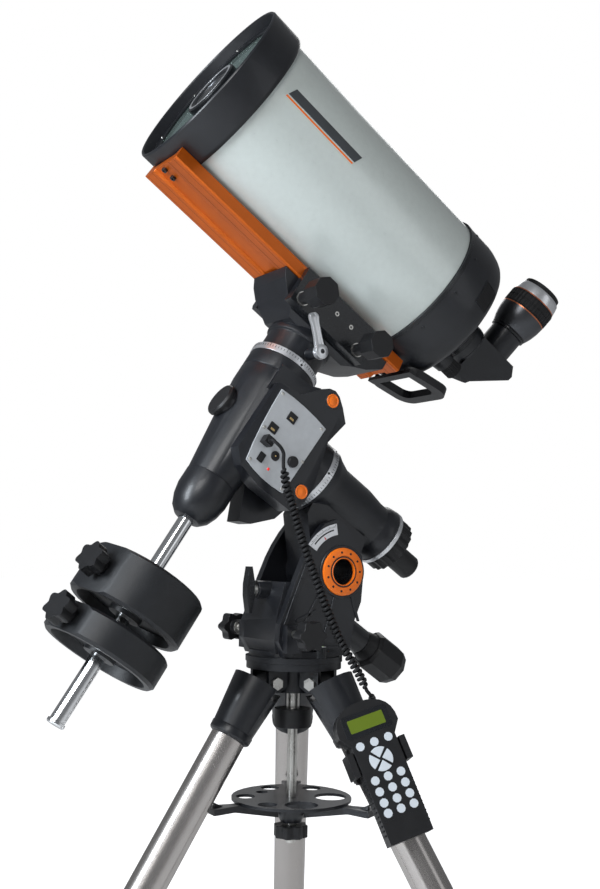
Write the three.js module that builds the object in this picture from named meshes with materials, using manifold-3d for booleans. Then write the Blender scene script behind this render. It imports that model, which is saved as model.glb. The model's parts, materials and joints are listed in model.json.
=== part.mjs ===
// A Schmidt-Cassegrain telescope on a German equatorial mount and a three-legged tripod.
//
// Millimetres, +Z up.  The pole lies towards -X (north), east is +Y.  The model is laid out with
// the mount's base plane at Z = 0 and the tripod's centre line on the Z axis, and the finished
// group is then moved so that the middle of its base stands on the origin.
//
// The mount head is laid out in a "polar" frame: its origin is where the two axes cross, its X
// axis runs down the right ascension axis away from the pole, and its Z axis runs up the
// declination axis to the tube.

import * as THREE from 'three';
import { mergeVertices } from 'three/addons/utils/BufferGeometryUtils.js';
import Module from 'manifold-3d';

const wasm = await Module();
wasm.setup();

// ---- driving dimensions ----------------------------------------------------------------------

const GAP = 0.3; // left between pieces that touch
const QUARTER = Math.PI / 2;
const DEGREE = Math.PI / 180;

const LATITUDE = 33.8; // tilt of the right ascension axis, degrees
const AXES_NORTH = 85; // the crossing of the axes, north of the tripod's centre line
const AXES_HEIGHT = 339; // and above the mount's base plane
const PIVOT_SOUTH = 44.4; // the latitude pivot
const PIVOT_HEIGHT = 127.4;

const FLOOR_DEPTH = 680; // the floor below the mount's base plane
const LEG_SPLAY = 32; // degrees from the vertical
const LEG_RADIUS = 25.4; // 2 inch tube
const LEG_REACH = 38.1; // where the leg's centre line crosses the base plane
const LEG_HINGE_REACH = 44;
const LEG_HINGE_DEPTH = 31;
const MOUNT_TURN = 1.9; // the mount is turned this far on the tripod, degrees
const LEGS = [
  ['north', 180 - MOUNT_TURN],
  ['east', 60 - MOUNT_TURN],
  ['west', -60 - MOUNT_TURN],
];

const TUBE_AXIS = 360; // optical axis above the crossing of the axes
const TUBE_RADIUS = 131.5;
const TUBE_WALL = 1.5;
const RING_RADIUS = 139;
const RING_FRONT = -340;
const RING_BACK = -284;
const CELL_FRONT = 100; // the rear cell starts here
const VISUAL_BACK = 250.5; // and its threaded port ends here
const BAR_BOTTOM = 206; // the dovetail bar's face that lies on the saddle
const BAR_HALF = 50.8; // 4 inch wide
const FOCUS_Y = -20; // the focus knob, east-west
const FOCUS_Z = 296; // and above the right ascension axis

const BARREL_TOP = 97; // the declination housing's upper and lower ends
const BARREL_BOTTOM = -104;
const DEC_BORE = 18;
const PANEL_FACE = -62; // where the control panel is screwed on, east-west
const SHAFT_RADIUS = 11; // counterweight shaft
const SHAFT_END = -494;
const WEIGHT_RADIUS = 84.5;
const WEIGHT_KNOB_TURN = 198.8; // direction of the weights' lock knobs about the shaft, degrees

const RA_FRONT = 135.1; // the right ascension housing's ends
const RA_BACK = 288;
const PIVOT_BORE = 22.3;

const EYEPIECE_X = 294.5; // the eyepiece's axis behind the declination axis
const EYEPIECE_TURN = 22; // the diagonal is turned this far towards the west, degrees

const HANDSET_DOWN = 181; // the handset's middle, down the west leg
const HANDSET_TURN = 47; // the cradle is turned this far round the leg, degrees
const HANDSET_SKEW = 5.5; // and tilted in its own plane

const LARGE = 32; // sides of the largest rounds
const ROUND = 20;
const SMALL = 10;

// ---- solids ------------------------------------------------------------------------------------

function flipInward(vertices, triangles) {
  let volume = 0;
  const corner = (i) => new THREE.Vector3().fromArray(vertices, 3 * triangles[i]);
  for (let i = 0; i < triangles.length; i += 3) {
    volume += corner(i).dot(corner(i + 1).cross(corner(i + 2)));
  }
  if (volume < 0) {
    for (let i = 0; i < triangles.length; i += 3) {
      [triangles[i], triangles[i + 1]] = [triangles[i + 1], triangles[i]];
    }
  }
}

function solid(geometry) {
  geometry.deleteAttribute('normal');
  geometry.deleteAttribute('uv');
  const merged = mergeVertices(geometry, 1e-4);
  const index = merged.index.array;
  const kept = [];
  for (let i = 0; i < index.length; i += 3) {
    const [a, b, c] = [index[i], index[i + 1], index[i + 2]];
    if (a !== b && b !== c && c !== a) {
      kept.push(a, b, c);
    }
  }
  const vertProperties = new Float32Array(merged.attributes.position.array);
  const triVerts = new Uint32Array(kept);
  flipInward(vertProperties, triVerts);
  return new wasm.Manifold(new wasm.Mesh({ numProp: 3, vertProperties, triVerts }));
}

function join(...solids) {
  return solids.reduce((whole, next) => whole.add(next));
}

function cut(body, ...tools) {
  return tools.reduce((whole, tool) => whole.subtract(tool), body);
}

function geometryOf(body) {
  const mesh = body.getMesh();
  const positions = new Float32Array(mesh.numVert * 3);
  for (let i = 0; i < mesh.numVert; i += 1) {
    for (let k = 0; k < 3; k += 1) {
      positions[3 * i + k] = mesh.vertProperties[mesh.numProp * i + k];
    }
  }
  const geometry = new THREE.BufferGeometry();
  geometry.setAttribute('position', new THREE.BufferAttribute(positions, 3));
  geometry.setIndex(new THREE.BufferAttribute(new Uint32Array(mesh.triVerts), 1));
  geometry.computeVertexNormals();
  return geometry;
}

// A box between two corners.
function block([x0, y0, z0], [x1, y1, z1]) {
  const geometry = new THREE.BoxGeometry(x1 - x0, y1 - y0, z1 - z0);
  geometry.translate((x0 + x1) / 2, (y0 + y1) / 2, (z0 + z1) / 2);
  return solid(geometry);
}

// A solid of revolution.  The profile's points are [radius, distance along the axis].
function turned(profile, axis = 'z', sides = ROUND, centre = [0, 0, 0]) {
  const points = profile.map(([radius, along]) => new THREE.Vector2(radius, along));
  const geometry = new THREE.LatheGeometry(points, sides);
  if (axis === 'z') geometry.rotateX(QUARTER);
  if (axis === 'x') geometry.rotateZ(-QUARTER);
  geometry.translate(...centre);
  return solid(geometry);
}

function cylinder(radius, from, to, axis = 'z', sides = ROUND, centre = [0, 0, 0]) {
  return turned([[0, from], [radius, from], [radius, to], [0, to]], axis, sides, centre);
}

function annulus(outer, inner, from, to, axis = 'z', sides = ROUND, centre = [0, 0, 0]) {
  const profile = [[inner, from], [outer, from], [outer, to], [inner, to], [inner, from]];
  return turned(profile, axis, sides, centre);
}

function outlineShape(points) {
  return new THREE.Shape(points.map(([a, b]) => new THREE.Vector2(a, b)));
}

function extruded(shape, depth, curveSegments = 8) {
  return new THREE.ExtrudeGeometry(shape, { depth, bevelEnabled: false, curveSegments });
}

// An outline in X-Y, raised from z0 to z1.
function plate(shape, z0, z1, curveSegments) {
  const geometry = extruded(shape, z1 - z0, curveSegments);
  geometry.translate(0, 0, z0);
  return solid(geometry);
}

// An outline in X-Z, drawn out along Y.
function slab(shape, y0, y1, curveSegments) {
  const geometry = extruded(shape, y1 - y0, curveSegments);
  geometry.rotateX(QUARTER);
  geometry.translate(0, y1, 0);
  return solid(geometry);
}

// An outline in Y-Z, drawn out along X.
function beam(shape, x0, x1, curveSegments) {
  const geometry = extruded(shape, x1 - x0, curveSegments);
  geometry.rotateX(QUARTER);
  geometry.rotateZ(QUARTER);
  geometry.translate(x0, 0, 0);
  return solid(geometry);
}

// A star-shaped outline with rounded lobes, for hand knobs.
function lobedShape(radius, dip, lobes, steps = 4) {
  const points = [];
  const total = lobes * steps * 2;
  for (let i = 0; i < total; i += 1) {
    const angle = (i / total) * 2 * Math.PI;
    const reach = radius - dip * (0.5 - 0.5 * Math.cos(lobes * angle));
    points.push([reach * Math.cos(angle), reach * Math.sin(angle)]);
  }
  return outlineShape(points);
}

// A regular polygon, for nuts and faceted knobs.
function polygonShape(radius, sides) {
  const points = [];
  for (let i = 0; i < sides; i += 1) {
    const angle = ((i + 0.5) / sides) * 2 * Math.PI;
    points.push([radius * Math.cos(angle), radius * Math.sin(angle)]);
  }
  return outlineShape(points);
}

function roundedRectangle(x0, y0, x1, y1, radius) {
  const shape = new THREE.Shape();
  shape.moveTo(x0 + radius, y0);
  shape.lineTo(x1 - radius, y0);
  shape.absarc(x1 - radius, y0 + radius, radius, -QUARTER, 0);
  shape.lineTo(x1, y1 - radius);
  shape.absarc(x1 - radius, y1 - radius, radius, 0, QUARTER);
  shape.lineTo(x0 + radius, y1);
  shape.absarc(x0 + radius, y1 - radius, radius, QUARTER, Math.PI);
  shape.lineTo(x0, y0 + radius);
  shape.absarc(x0 + radius, y0 + radius, radius, Math.PI, 3 * QUARTER);
  return shape;
}

// ---- finishes and frames -----------------------------------------------------------------------

const finish = (color, roughness, metalness) => ({ color, roughness, metalness });
const BLACK_PAINT = finish(0x24272c, 0.45, 0.2);
const TUBE_PAINT = finish(0xc3cac7, 0.35, 0.1);
const ORANGE = finish(0xe8620f, 0.4, 0.35);
const SILVER = finish(0xc9ccd0, 0.3, 0.9);
const CHROME = finish(0xdcdfe2, 0.08, 1);
const STEEL = finish(0xb3aca6, 0.25, 0.9);
const BRASS = finish(0xb08d4a, 0.3, 0.9);
const PLASTIC = finish(0x1b1c1f, 0.6, 0);
const RUBBER = finish(0x121315, 0.85, 0);
const KEYS = finish(0xb9bec4, 0.6, 0);
const GLASS = finish(0xaec4bb, 0.05, 0);
const MIRROR = finish(0xe6ebee, 0.02, 1);

const model = new THREE.Group();

function frame(parent, x, y, z) {
  const group = new THREE.Group();
  group.position.set(x, y, z);
  parent.add(group);
  return group;
}

const polar = frame(model, -AXES_NORTH, 0, AXES_HEIGHT);
polar.rotation.y = LATITUDE * DEGREE;

function piece(name, body, look, parent = model) {
  const material = new THREE.MeshStandardMaterial(look);
  const mesh = new THREE.Mesh(geometryOf(body), material);
  mesh.name = name;
  parent.add(mesh);
  return mesh;
}

// A point of the base frame, given in the polar frame's X and Z.
function toPolar(south, height) {
  const point = new THREE.Vector3(south + AXES_NORTH, 0, height - AXES_HEIGHT);
  point.applyAxisAngle(new THREE.Vector3(0, 1, 0), -LATITUDE * DEGREE);
  return [point.x, point.z];
}

const [PIVOT_X, PIVOT_Z] = toPolar(PIVOT_SOUTH, PIVOT_HEIGHT);

// ---- tripod ------------------------------------------------------------------------------------

const HEAD_TOP = -2.3;
const HEAD_UNDERSIDE = -12;
const HUB_BOTTOM = -46;
const LUG_INNER = 20.5;
const LUG_OUTER = 28;

function tripodHead() {
  const disc = annulus(69, 10, HEAD_UNDERSIDE, HEAD_TOP, 'z', LARGE);
  let body = join(disc, annulus(30, 10, HUB_BOTTOM, HEAD_UNDERSIDE + 1));
  for (const [, angle] of LEGS) {
    const lug = outlineShape([[26, -11.5], [56, -11.5], [56, -36], [50, -44], [38, -44], [26, -36]]);
    const hinge = [LEG_HINGE_REACH, 0, -LEG_HINGE_DEPTH];
    const parts = [slab(lug, LUG_INNER, LUG_OUTER), slab(lug, -LUG_OUTER, -LUG_INNER)];
    parts.push(cylinder(5, -LUG_OUTER, LUG_OUTER, 'y', SMALL, hinge));
    parts.push(cylinder(9, -LUG_OUTER - 5, -LUG_OUTER, 'y', 6, hinge));
    parts.push(cylinder(9, LUG_OUTER, LUG_OUTER + 5, 'y', 6, hinge));
    body = join(body, join(...parts).rotate([0, 0, angle]));
  }
  return body;
}

function centreRod() {
  const profile = [[0, -259], [7, -259], [7, -96], [27, -96], [27, -70], [9.4, -70], [9.4, -8], [0, -8]];
  return turned(profile, 'z', 20);
}

const TRAY_TOP = -195;
const TRAY_RADIUS = 86.5;

// Each hole's direction in degrees, distance from the centre and radius.
const TRAY_HOLES = [
  [-30, 56, 23.5], [-108, 58, 23.5], [-152, 66, 14], [152, 66, 14], [87, 66, 14], [31, 66, 14], [117, 50, 9],
];

function trayHoles() {
  return TRAY_HOLES.map(([angle, reach, radius]) => {
    const centre = [reach * Math.cos(angle * DEGREE), reach * Math.sin(angle * DEGREE), 0];
    return cylinder(radius, -204, -190, 'z', 16, centre);
  });
}

function tray() {
  const disc = cylinder(TRAY_RADIUS, TRAY_TOP - 4, TRAY_TOP, 'z', LARGE);
  const hub = turned([[0, -230], [15, -230], [24, -212], [26, -198], [0, -198]]);
  let body = join(cut(disc, ...trayHoles()), hub);
  for (const [, angle] of LEGS) {
    const arm = outlineShape([[20, -14], [95, -9], [124, -15], [130.3, -15], [130.3, 15], [124, 15], [95, 9], [20, 14]]);
    const rib = outlineShape([[22, -222], [26, -199], [110, -199], [124, -192], [124, -206], [90, -209]]);
    const both = join(plate(arm, -207, -198.5), slab(rib, -3, 3));
    body = join(body, both.rotate([0, 0, angle]));
  }
  return cut(body, cylinder(7.5, -240, -180, 'z', 20));
}

function trayKnob() {
  return cut(plate(lobedShape(25, 4, 8, 2), -251, -234), cylinder(7.3, -260, -230, 'z', 20));
}

function legFrame(angle) {
  const turn = frame(model, 0, 0, 0);
  turn.rotation.z = angle * DEGREE;
  const tilt = frame(turn, LEG_REACH, 0, 0);
  tilt.rotation.y = -LEG_SPLAY * DEGREE;
  return tilt;
}

// A point in a leg's own plane, given as reach and height in the base frame.
function legPoint(reach, height) {
  const point = new THREE.Vector3(reach - LEG_REACH, 0, height);
  point.applyAxisAngle(new THREE.Vector3(0, 1, 0), LEG_SPLAY * DEGREE);
  return [point.x, 0, point.z];
}

const SLEEVE_TOP = -37.5;
const TUBE_END = -640;

function legUpper() {
  const hinge = legPoint(LEG_HINGE_REACH, -LEG_HINGE_DEPTH);
  const profile = [
    [22.9, -645], [31, -645], [31, -600], [LEG_RADIUS, -596], [LEG_RADIUS, -125], [29.5, -123],
    [37.5, SLEEVE_TOP], [22.9, SLEEVE_TOP], [22.9, -645],
  ];
  const bossShape = outlineShape([[-34, -640], [-20, -640], [-20, -605], [-34, -610]]);
  const shell = join(turned(profile), slab(bossShape, -12, 12));
  const hollowed = cut(shell, cylinder(22.9, -650, -60));
  const knuckle = cylinder(24, -34, 34, 'y', ROUND, hinge);
  const tongue = block([-20, -20, -64], [0, 20, -20]);
  const ends = join(cylinder(24, -66, -60), tongue);
  return cut(join(cut(hollowed, knuckle), ends), cylinder(5.4, -35, 35, 'y', SMALL, hinge));
}

function legExtension() {
  const profile = [
    [0, -830], [26, -830], [26, -765], [22.5, -750], [22.5, -240], [20.5, -240], [20.5, -748], [0, -748],
  ];
  const floor = new THREE.BoxGeometry(1400, 400, 200);
  floor.translate(0, 0, -FLOOR_DEPTH - 100);
  floor.translate(-LEG_REACH, 0, 0);
  floor.rotateY(LEG_SPLAY * DEGREE);
  return cut(turned(profile, 'z', 24), solid(floor));
}

function buildTripod() {
  piece('tripod_head', tripodHead(), BLACK_PAINT);
  piece('centre_rod', centreRod(), STEEL);
  piece('tray', tray(), BLACK_PAINT);
  piece('tray_knob', trayKnob(), PLASTIC);
  for (const [name, angle] of LEGS) {
    const leg = legFrame(angle);
    piece(`leg_${name}`, legUpper(), STEEL, leg);
    piece(`leg_extension_${name}`, legExtension(), STEEL, leg);
  }
}

// ---- mount base --------------------------------------------------------------------------------

const CHEEK_IN = 43;
const CHEEK_OUT = 56;
const AZIMUTH_X = -42;
const AZIMUTH_Z = 41;
const BOLT_Z = 100;
const ADJUSTER_Z = -151; // south latitude screw, polar frame

function mountBase() {
  const disc = annulus(70.5, 12, -2, 6, 'z', LARGE);
  const upper = annulus(66, 12, 5.5, 15, 'z', LARGE);
  const cheek = outlineShape([
    [-50, 8], [-60, 30], [-58, 54], [-41, 96], [-31, 120], [-19, 147], [-9, 165], [4, 184], [14, 196],
    [36, 203], [52, 192], [66, 172], [80, 150], [82, 116], [79, 84], [67, 56], [58, 8],
  ]);
  const northWall = outlineShape([[-58, 12], [-60, 30], [-57, 62], [-50, 92], [-44, 112], [-32, 112], [-36, 60], [-34, 12]]);
  const southWall = outlineShape([[56, 12], [60, 55], [78, 88], [62, 88], [46, 55], [40, 12]]);
  const parts = [disc, upper];
  parts.push(slab(cheek, CHEEK_IN, CHEEK_OUT), slab(cheek, -CHEEK_OUT, -CHEEK_IN));
  parts.push(slab(northWall, -44, 44), slab(southWall, -44, 44));
  parts.push(cylinder(13, -66, -40, 'x', 20, [0, 0, BOLT_Z]));
  for (const side of [-1, 1]) {
    const lug = [side * 55, side * 68].sort((a, b) => a - b);
    parts.push(block([AZIMUTH_X - 12, lug[0], 14], [AZIMUTH_X + 12, lug[1], AZIMUTH_Z + 12]));
  }
  const screws = join(
    cylinder(5.4, -90, 90, 'y', SMALL, [AZIMUTH_X, 0, AZIMUTH_Z]),
    cylinder(5.4, -90, -20, 'x', SMALL, [0, 0, BOLT_Z]),
    cylinder(PIVOT_BORE, -90, 90, 'y', ROUND, [PIVOT_SOUTH, 0, PIVOT_HEIGHT]),
  );
  const boss = cylinder(19.5, 268, 345, 'x', 20, [0, 0, ADJUSTER_Z]);
  const bore = cylinder(6.4, 240, 360, 'x', SMALL, [0, 0, ADJUSTER_Z]);
  const tilt = (body) => body.rotate([0, LATITUDE, 0]).translate([-AXES_NORTH, 0, AXES_HEIGHT]);
  return cut(join(...parts, tilt(boss)), screws, tilt(bore));
}

function azimuthKnob(side) {
  const head = slab(lobedShape(22, 5, 6), 97, 117);
  const body = join(head, cylinder(11, 86, 98, 'y', 20), cylinder(5, 50, 90, 'y', SMALL));
  return body.rotate([0, 0, side > 0 ? 0 : 180]);
}

function latitudeBolt() {
  const bar = outlineShape([[-80, -33], [-76, -33], [-71, -8], [-71, 8], [-76, 33], [-80, 33], [-84, 8], [-84, -8]]);
  const screw = cylinder(5, -73, -8, 'x', SMALL);
  return join(slab(bar, -7, 7), cylinder(9, -72, -67, 'x', 20), screw);
}

function latitudeAdjuster() {
  const head = [[0, 362], [27, 362], [31, 367], [31, 411], [25, 423], [0, 425]];
  const neck = [[0, 346], [19, 346], [21, 350], [24, 363], [0, 363]];
  const screw = cylinder(6, 268, 350, 'x', SMALL);
  return join(turned(head, 'x', 8), turned(neck, 'x', ROUND), screw);
}

function latitudePivot() {
  const profile = [
    [19, -61.5], [34.5, -61.5], [34.5, -56.3], [22, -56.3], [22, 56.3], [34.5, 56.3], [34.5, 61.5],
    [19, 61.5], [19, -61.5],
  ];
  return turned(profile, 'y', LARGE);
}

function buildBase() {
  piece('mount_base', mountBase(), BLACK_PAINT);
  const knobs = frame(model, AZIMUTH_X, 0, AZIMUTH_Z);
  piece('azimuth_knob_east', azimuthKnob(1), PLASTIC, knobs);
  piece('azimuth_knob_west', azimuthKnob(-1), PLASTIC, knobs);
  piece('latitude_t_bolt', latitudeBolt(), PLASTIC, frame(model, 0, 0, BOLT_Z));
  piece('latitude_adjuster', latitudeAdjuster(), PLASTIC, frame(polar, 0, 0, ADJUSTER_Z));
  piece('latitude_pivot', latitudePivot(), ORANGE, frame(model, PIVOT_SOUTH, 0, PIVOT_HEIGHT));
}

// ---- right ascension axis ----------------------------------------------------------------------

const RA_WHEEL_X = 146;
const RA_WHEEL_RADIUS = 39;
const WORM_RADIUS = 5;
const RA_WORM_Z = -(RA_WHEEL_RADIUS + WORM_RADIUS + 0.4);
const RA_LEVER_X = 154;
const RA_LEVER_Y = 61.8; // the lever swings clear of the setting ring
const RA_LEVER_Z = -4;

function raHousing() {
  const outer = [
    [0, RA_FRONT], [54, RA_FRONT], [54, 141], [50, 149], [43.8, 167], [43.5, 221], [39.8, 250],
    [39.8, 260], [44, 267], [45.5, 277], [44.5, RA_BACK], [0, RA_BACK],
  ];
  const inner = [[0, 130], [41.5, 130], [41.5, 156], [34, 167], [34, 300], [0, 300]];
  const arm = new THREE.Shape();
  arm.moveTo(138, -30);
  arm.lineTo(140, -60);
  arm.lineTo(PIVOT_X - 28, PIVOT_Z - 21);
  arm.absarc(PIVOT_X, PIVOT_Z, 35, 217 * DEGREE, 377 * DEGREE);
  arm.lineTo(246, -30);
  const wormBox = block([139, -22, -50.8], [153, 22, -30]);
  const pivotBoss = cylinder(35, -42.5, 42.5, 'y', 24, [PIVOT_X, 0, PIVOT_Z]);
  const leverBoss = cylinder(9, 44, RA_LEVER_Y - 7 - GAP, 'y', ROUND, [RA_LEVER_X, 0, RA_LEVER_Z]);
  const body = join(turned(outer, 'x', LARGE), slab(arm, -34, 34), pivotBoss, leverBoss);
  const bore = cylinder(PIVOT_BORE, -60, 60, 'y', ROUND, [PIVOT_X, 0, PIVOT_Z]);
  return cut(body, turned(inner, 'x', LARGE), bore, wormBox);
}

function polarEndCap() {
  const ribs = extruded(lobedShape(43.5, 2.5, 20, 2), 24);
  ribs.rotateY(QUARTER);
  ribs.translate(RA_BACK + GAP, 0, 0);
  const dome = turned([[0, 312], [38, 312], [35, 316], [0, 318]], 'x', 24);
  const stub = turned([[0, 310], [19.5, 310], [19.5, 359], [17, 362], [0, 362]], 'x', 20, [0, 0, -7]);
  return cut(join(solid(ribs), dome, stub), cylinder(36, 280, 308, 'x', ROUND));
}

function clutchLever(length) {
  const arm = new THREE.Shape();
  arm.moveTo(-11, 0);
  arm.absarc(0, 0, 11, Math.PI, 2 * Math.PI);
  arm.lineTo(8, length - 3);
  arm.lineTo(5, length);
  arm.lineTo(-5, length);
  arm.lineTo(-8, length - 3);
  return slab(arm, -7, 0, 10);
}

function buildRightAscension() {
  piece('ra_housing', raHousing(), BLACK_PAINT, polar);
  piece('ra_setting_ring', annulus(55, 30, 123.5, 134.8, 'x', LARGE), SILVER, polar);
  piece('polar_end_cap', polarEndCap(), PLASTIC, polar);
  piece('ra_shaft', annulus(18, 14, 30, 286, 'x', ROUND), STEEL, polar);
  piece('ra_worm_wheel', annulus(RA_WHEEL_RADIUS, 18.3, 140, 152, 'x', ROUND), BRASS, polar);
  const worm = cylinder(WORM_RADIUS, -20, 20, 'y', SMALL, [RA_WHEEL_X, 0, RA_WORM_Z]);
  piece('ra_worm', worm, STEEL, polar);
  piece('ra_clutch_lever', clutchLever(52), SILVER, frame(polar, RA_LEVER_X, RA_LEVER_Y, RA_LEVER_Z));
}

// ---- declination housing -----------------------------------------------------------------------

const DEC_WHEEL_Z = 68;
const DEC_WHEEL_RADIUS = 40;
const DEC_WORM_Y = -(DEC_WHEEL_RADIUS + WORM_RADIUS + 0.4);

function decHousing() {
  const barrel = [
    [0, BARREL_BOTTOM], [37.8, BARREL_BOTTOM], [42.2, -66], [47.7, -15], [50, 15], [53, 46], [53, 72],
    [51.5, 73.5], [53, 75], [53, BARREL_TOP], [0, BARREL_TOP],
  ];
  const raBarrel = [[0, 10], [50, 10], [52, 70], [55, 105], [55, 123.2], [0, 123.2]];
  const box = outlineShape([
    [-20, 50], [-18, -62], [0, -80], [40, -88], [100, -86], [112, -66], [114, -40], [96, 33],
    [105, 74], [88, 90], [74, 100], [64, 102.5], [54, 99], [44, 90], [36, 80], [20, 60], [-11, 56],
  ]);
  const neck = outlineShape([[-24, 40], [-24, 82], [30, 86], [46, 94], [70, 80], [70, 40]]);
  const belly = outlineShape([[40, -70], [62, -118], [66, -127], [84, -119], [112, -90], [122, -60], [90, -40]]);
  const port = [[0, -58], [23, -58], [25.5, -55], [25.5, -50], [22, -49], [22, -20], [0, -20]];
  const body = join(
    turned(barrel, 'z', LARGE), turned(raBarrel, 'x', LARGE), slab(box, PANEL_FACE, -30),
    slab(neck, -53, -25), slab(belly, -8, 28), turned(port, 'x', ROUND),
  );
  const cavity = outlineShape([[4, 40], [4, -62], [66, -62], [70, 36]]);
  return cut(
    body,
    slab(cavity, PANEL_FACE - 1, -44),
    cylinder(DEC_BORE, -110, 115, 'z', 24),
    cylinder(42, 58, 115, 'z', ROUND),
    block([-18, -51.6, 61], [18, -30, 75]),
    cylinder(18.4, 0, 140, 'x', 24),
    cylinder(40, 64, 140, 'x', ROUND),
  );
}

function controlPanel() {
  const shape = new THREE.Shape();
  shape.moveTo(-10, 46);
  shape.quadraticCurveTo(-9, -20, 1, -70);
  shape.quadraticCurveTo(34, -80, 75, -74);
  shape.lineTo(81, 45);
  shape.quadraticCurveTo(34, 52, -10, 46);
  return slab(shape, PANEL_FACE - 2.7, PANEL_FACE - GAP, 4);
}

function decShaft() {
  const profile = [
    [11.4, -172], [20, -170], [29, -161], [35, -147], [38.3, -130], [38.3, -104.3], [17.6, -104.3],
    [17.6, 108.5], [13, 108.5], [13, -118], [11.4, -118], [11.4, -172],
  ];
  return turned(profile, 'z', 32);
}

function buildDeclinationHousing() {
  piece('dec_housing', decHousing(), BLACK_PAINT, polar);
  piece('control_panel', controlPanel(), SILVER, polar);
  piece('dec_setting_ring', annulus(54, 30, 97.3, 108.5, 'z', LARGE), SILVER, polar);
  const worm = cylinder(WORM_RADIUS, -16, 16, 'x', SMALL, [0, DEC_WORM_Y, DEC_WHEEL_Z]);
  piece('dec_worm', worm, STEEL, polar);
  piece('dec_worm_wheel', annulus(DEC_WHEEL_RADIUS, 17.9, 62, 74), BRASS, polar);
  piece('dec_shaft', decShaft(), BLACK_PAINT, polar);
}

// ---- counterweights ----------------------------------------------------------------------------

function counterweight(top, bottom) {
  const recess = Math.min(14, (top - bottom) / 3);
  const profile = [
    [SHAFT_RADIUS + GAP, bottom + 3], [23, bottom + 3], [25, bottom + recess], [68, bottom + recess], [72, bottom],
    [WEIGHT_RADIUS - 4, bottom], [WEIGHT_RADIUS, bottom + 4], [WEIGHT_RADIUS, top - 4],
    [WEIGHT_RADIUS - 4, top], [SHAFT_RADIUS + GAP, top], [SHAFT_RADIUS + GAP, bottom + 3],
  ];
  const flat = block([78, -60, bottom - 1], [100, 60, top + 1]).rotate([0, 0, WEIGHT_KNOB_TURN]);
  const middle = (top + bottom) / 2;
  const bore = cylinder(5.3, 9, 90, 'x', SMALL, [0, 0, middle]).rotate([0, 0, WEIGHT_KNOB_TURN]);
  return cut(turned(profile, 'z', LARGE), flat, bore);
}

function weightKnob(middle) {
  const head = extruded(lobedShape(22, 5.5, 6), 18);
  head.rotateY(QUARTER);
  head.translate(88, 0, 0);
  const body = join(solid(head), cylinder(12, 78.5, 89, 'x', ROUND), cylinder(5, 40, 80, 'x', SMALL));
  return body.rotate([0, 0, WEIGHT_KNOB_TURN]).translate([0, 0, middle]);
}

function buildCounterweights() {
  const shaft = [
    [0, SHAFT_END], [11.5, SHAFT_END], [13, -492], [13, -488], [SHAFT_RADIUS, -488], [SHAFT_RADIUS, -119],
    [0, -119],
  ];
  piece('counterweight_shaft', turned(shaft, 'z', 24), CHROME, polar);
  piece('counterweight_large', counterweight(-265, -334), BLACK_PAINT, polar);
  piece('counterweight_small', counterweight(-353, -395), BLACK_PAINT, polar);
  piece('counterweight_knob_large', weightKnob(-299.5), PLASTIC, polar);
  piece('counterweight_knob_small', weightKnob(-374), PLASTIC, polar);
}

// ---- saddle ------------------------------------------------------------------------------------

const CLAMP_X = 57.5;
const CLAMP_Z = 175;
const SADDLE_TOP = BAR_BOTTOM - GAP;
const LEVER_X = 5;
const LEVER_Y = -71; // clears the jaw when it opens
const LEVER_Z = 125.5;

function clampBores() {
  return [-CLAMP_X, CLAMP_X].map((x) => cylinder(5.4, -70, -20, 'y', SMALL, [x, 0, CLAMP_Z]));
}

function saddle() {
  const collar = [
    [0, 108.8], [46.5, 108.8], [46.5, 141], [50, 143], [50, 149], [47.5, 155], [47.5, 162], [0, 162],
  ];
  const side = outlineShape([
    [-50, 152], [60, 152], [96, 172], [119, 192], [119, SADDLE_TOP], [-100, SADDLE_TOP], [-92, 192], [-74, 174],
  ]);
  const end = outlineShape([
    [-30, 150], [30, 150], [46, 180], [46, SADDLE_TOP], [-46, SADDLE_TOP], [-46, 160], [-36, 150],
  ]);
  const farJaw = outlineShape([
    [40, 168], [52, 168], [58, 176], [58, BAR_BOTTOM + 15], [55, BAR_BOTTOM + 18], [47.9, BAR_BOTTOM + 18],
    [51.8, BAR_BOTTOM - 0.6], [40, BAR_BOTTOM - 0.6],
  ]);
  const body = slab(side, -46, 46).intersect(beam(end, -101, 120));
  const leverBoss = cylinder(9, LEVER_Y + GAP, -40, 'y', ROUND, [LEVER_X, 0, LEVER_Z]);
  return cut(join(turned(collar, 'z', LARGE), body, beam(farJaw, -74, 76), leverBoss), ...clampBores());
}

function saddleJaw() {
  const shape = outlineShape([
    [-64, 162.4], [-46.3, 162.4], [-46.3, BAR_BOTTOM - 0.8], [-51.8, BAR_BOTTOM - 0.6], [-47.9, BAR_BOTTOM + 18],
    [-60, BAR_BOTTOM + 18], [-64, BAR_BOTTOM + 14],
  ]);
  return cut(beam(shape, -74, 76), ...clampBores());
}

function saddleKnob() {
  const head = slab(polygonShape(20.5, 8), -128, -97);
  const neck = turned([[0, -98], [18, -98], [11, -90], [9, -70], [9, -64.3], [0, -64.3]], 'y', ROUND);
  return join(head, neck, cylinder(5, -66, -24, 'y', SMALL));
}

function buildSaddle() {
  piece('saddle', saddle(), BLACK_PAINT, polar);
  piece('saddle_jaw', saddleJaw(), BLACK_PAINT, polar);
  piece('saddle_knob_front', saddleKnob(), PLASTIC, frame(polar, -CLAMP_X, 0, CLAMP_Z));
  piece('saddle_knob_rear', saddleKnob(), PLASTIC, frame(polar, CLAMP_X, 0, CLAMP_Z));
  const lever = frame(polar, LEVER_X, LEVER_Y, LEVER_Z);
  lever.rotation.y = -48 * DEGREE;
  piece('dec_clutch_lever', clutchLever(57), SILVER, lever);
}

// ---- optical tube ------------------------------------------------------------------------------

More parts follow.
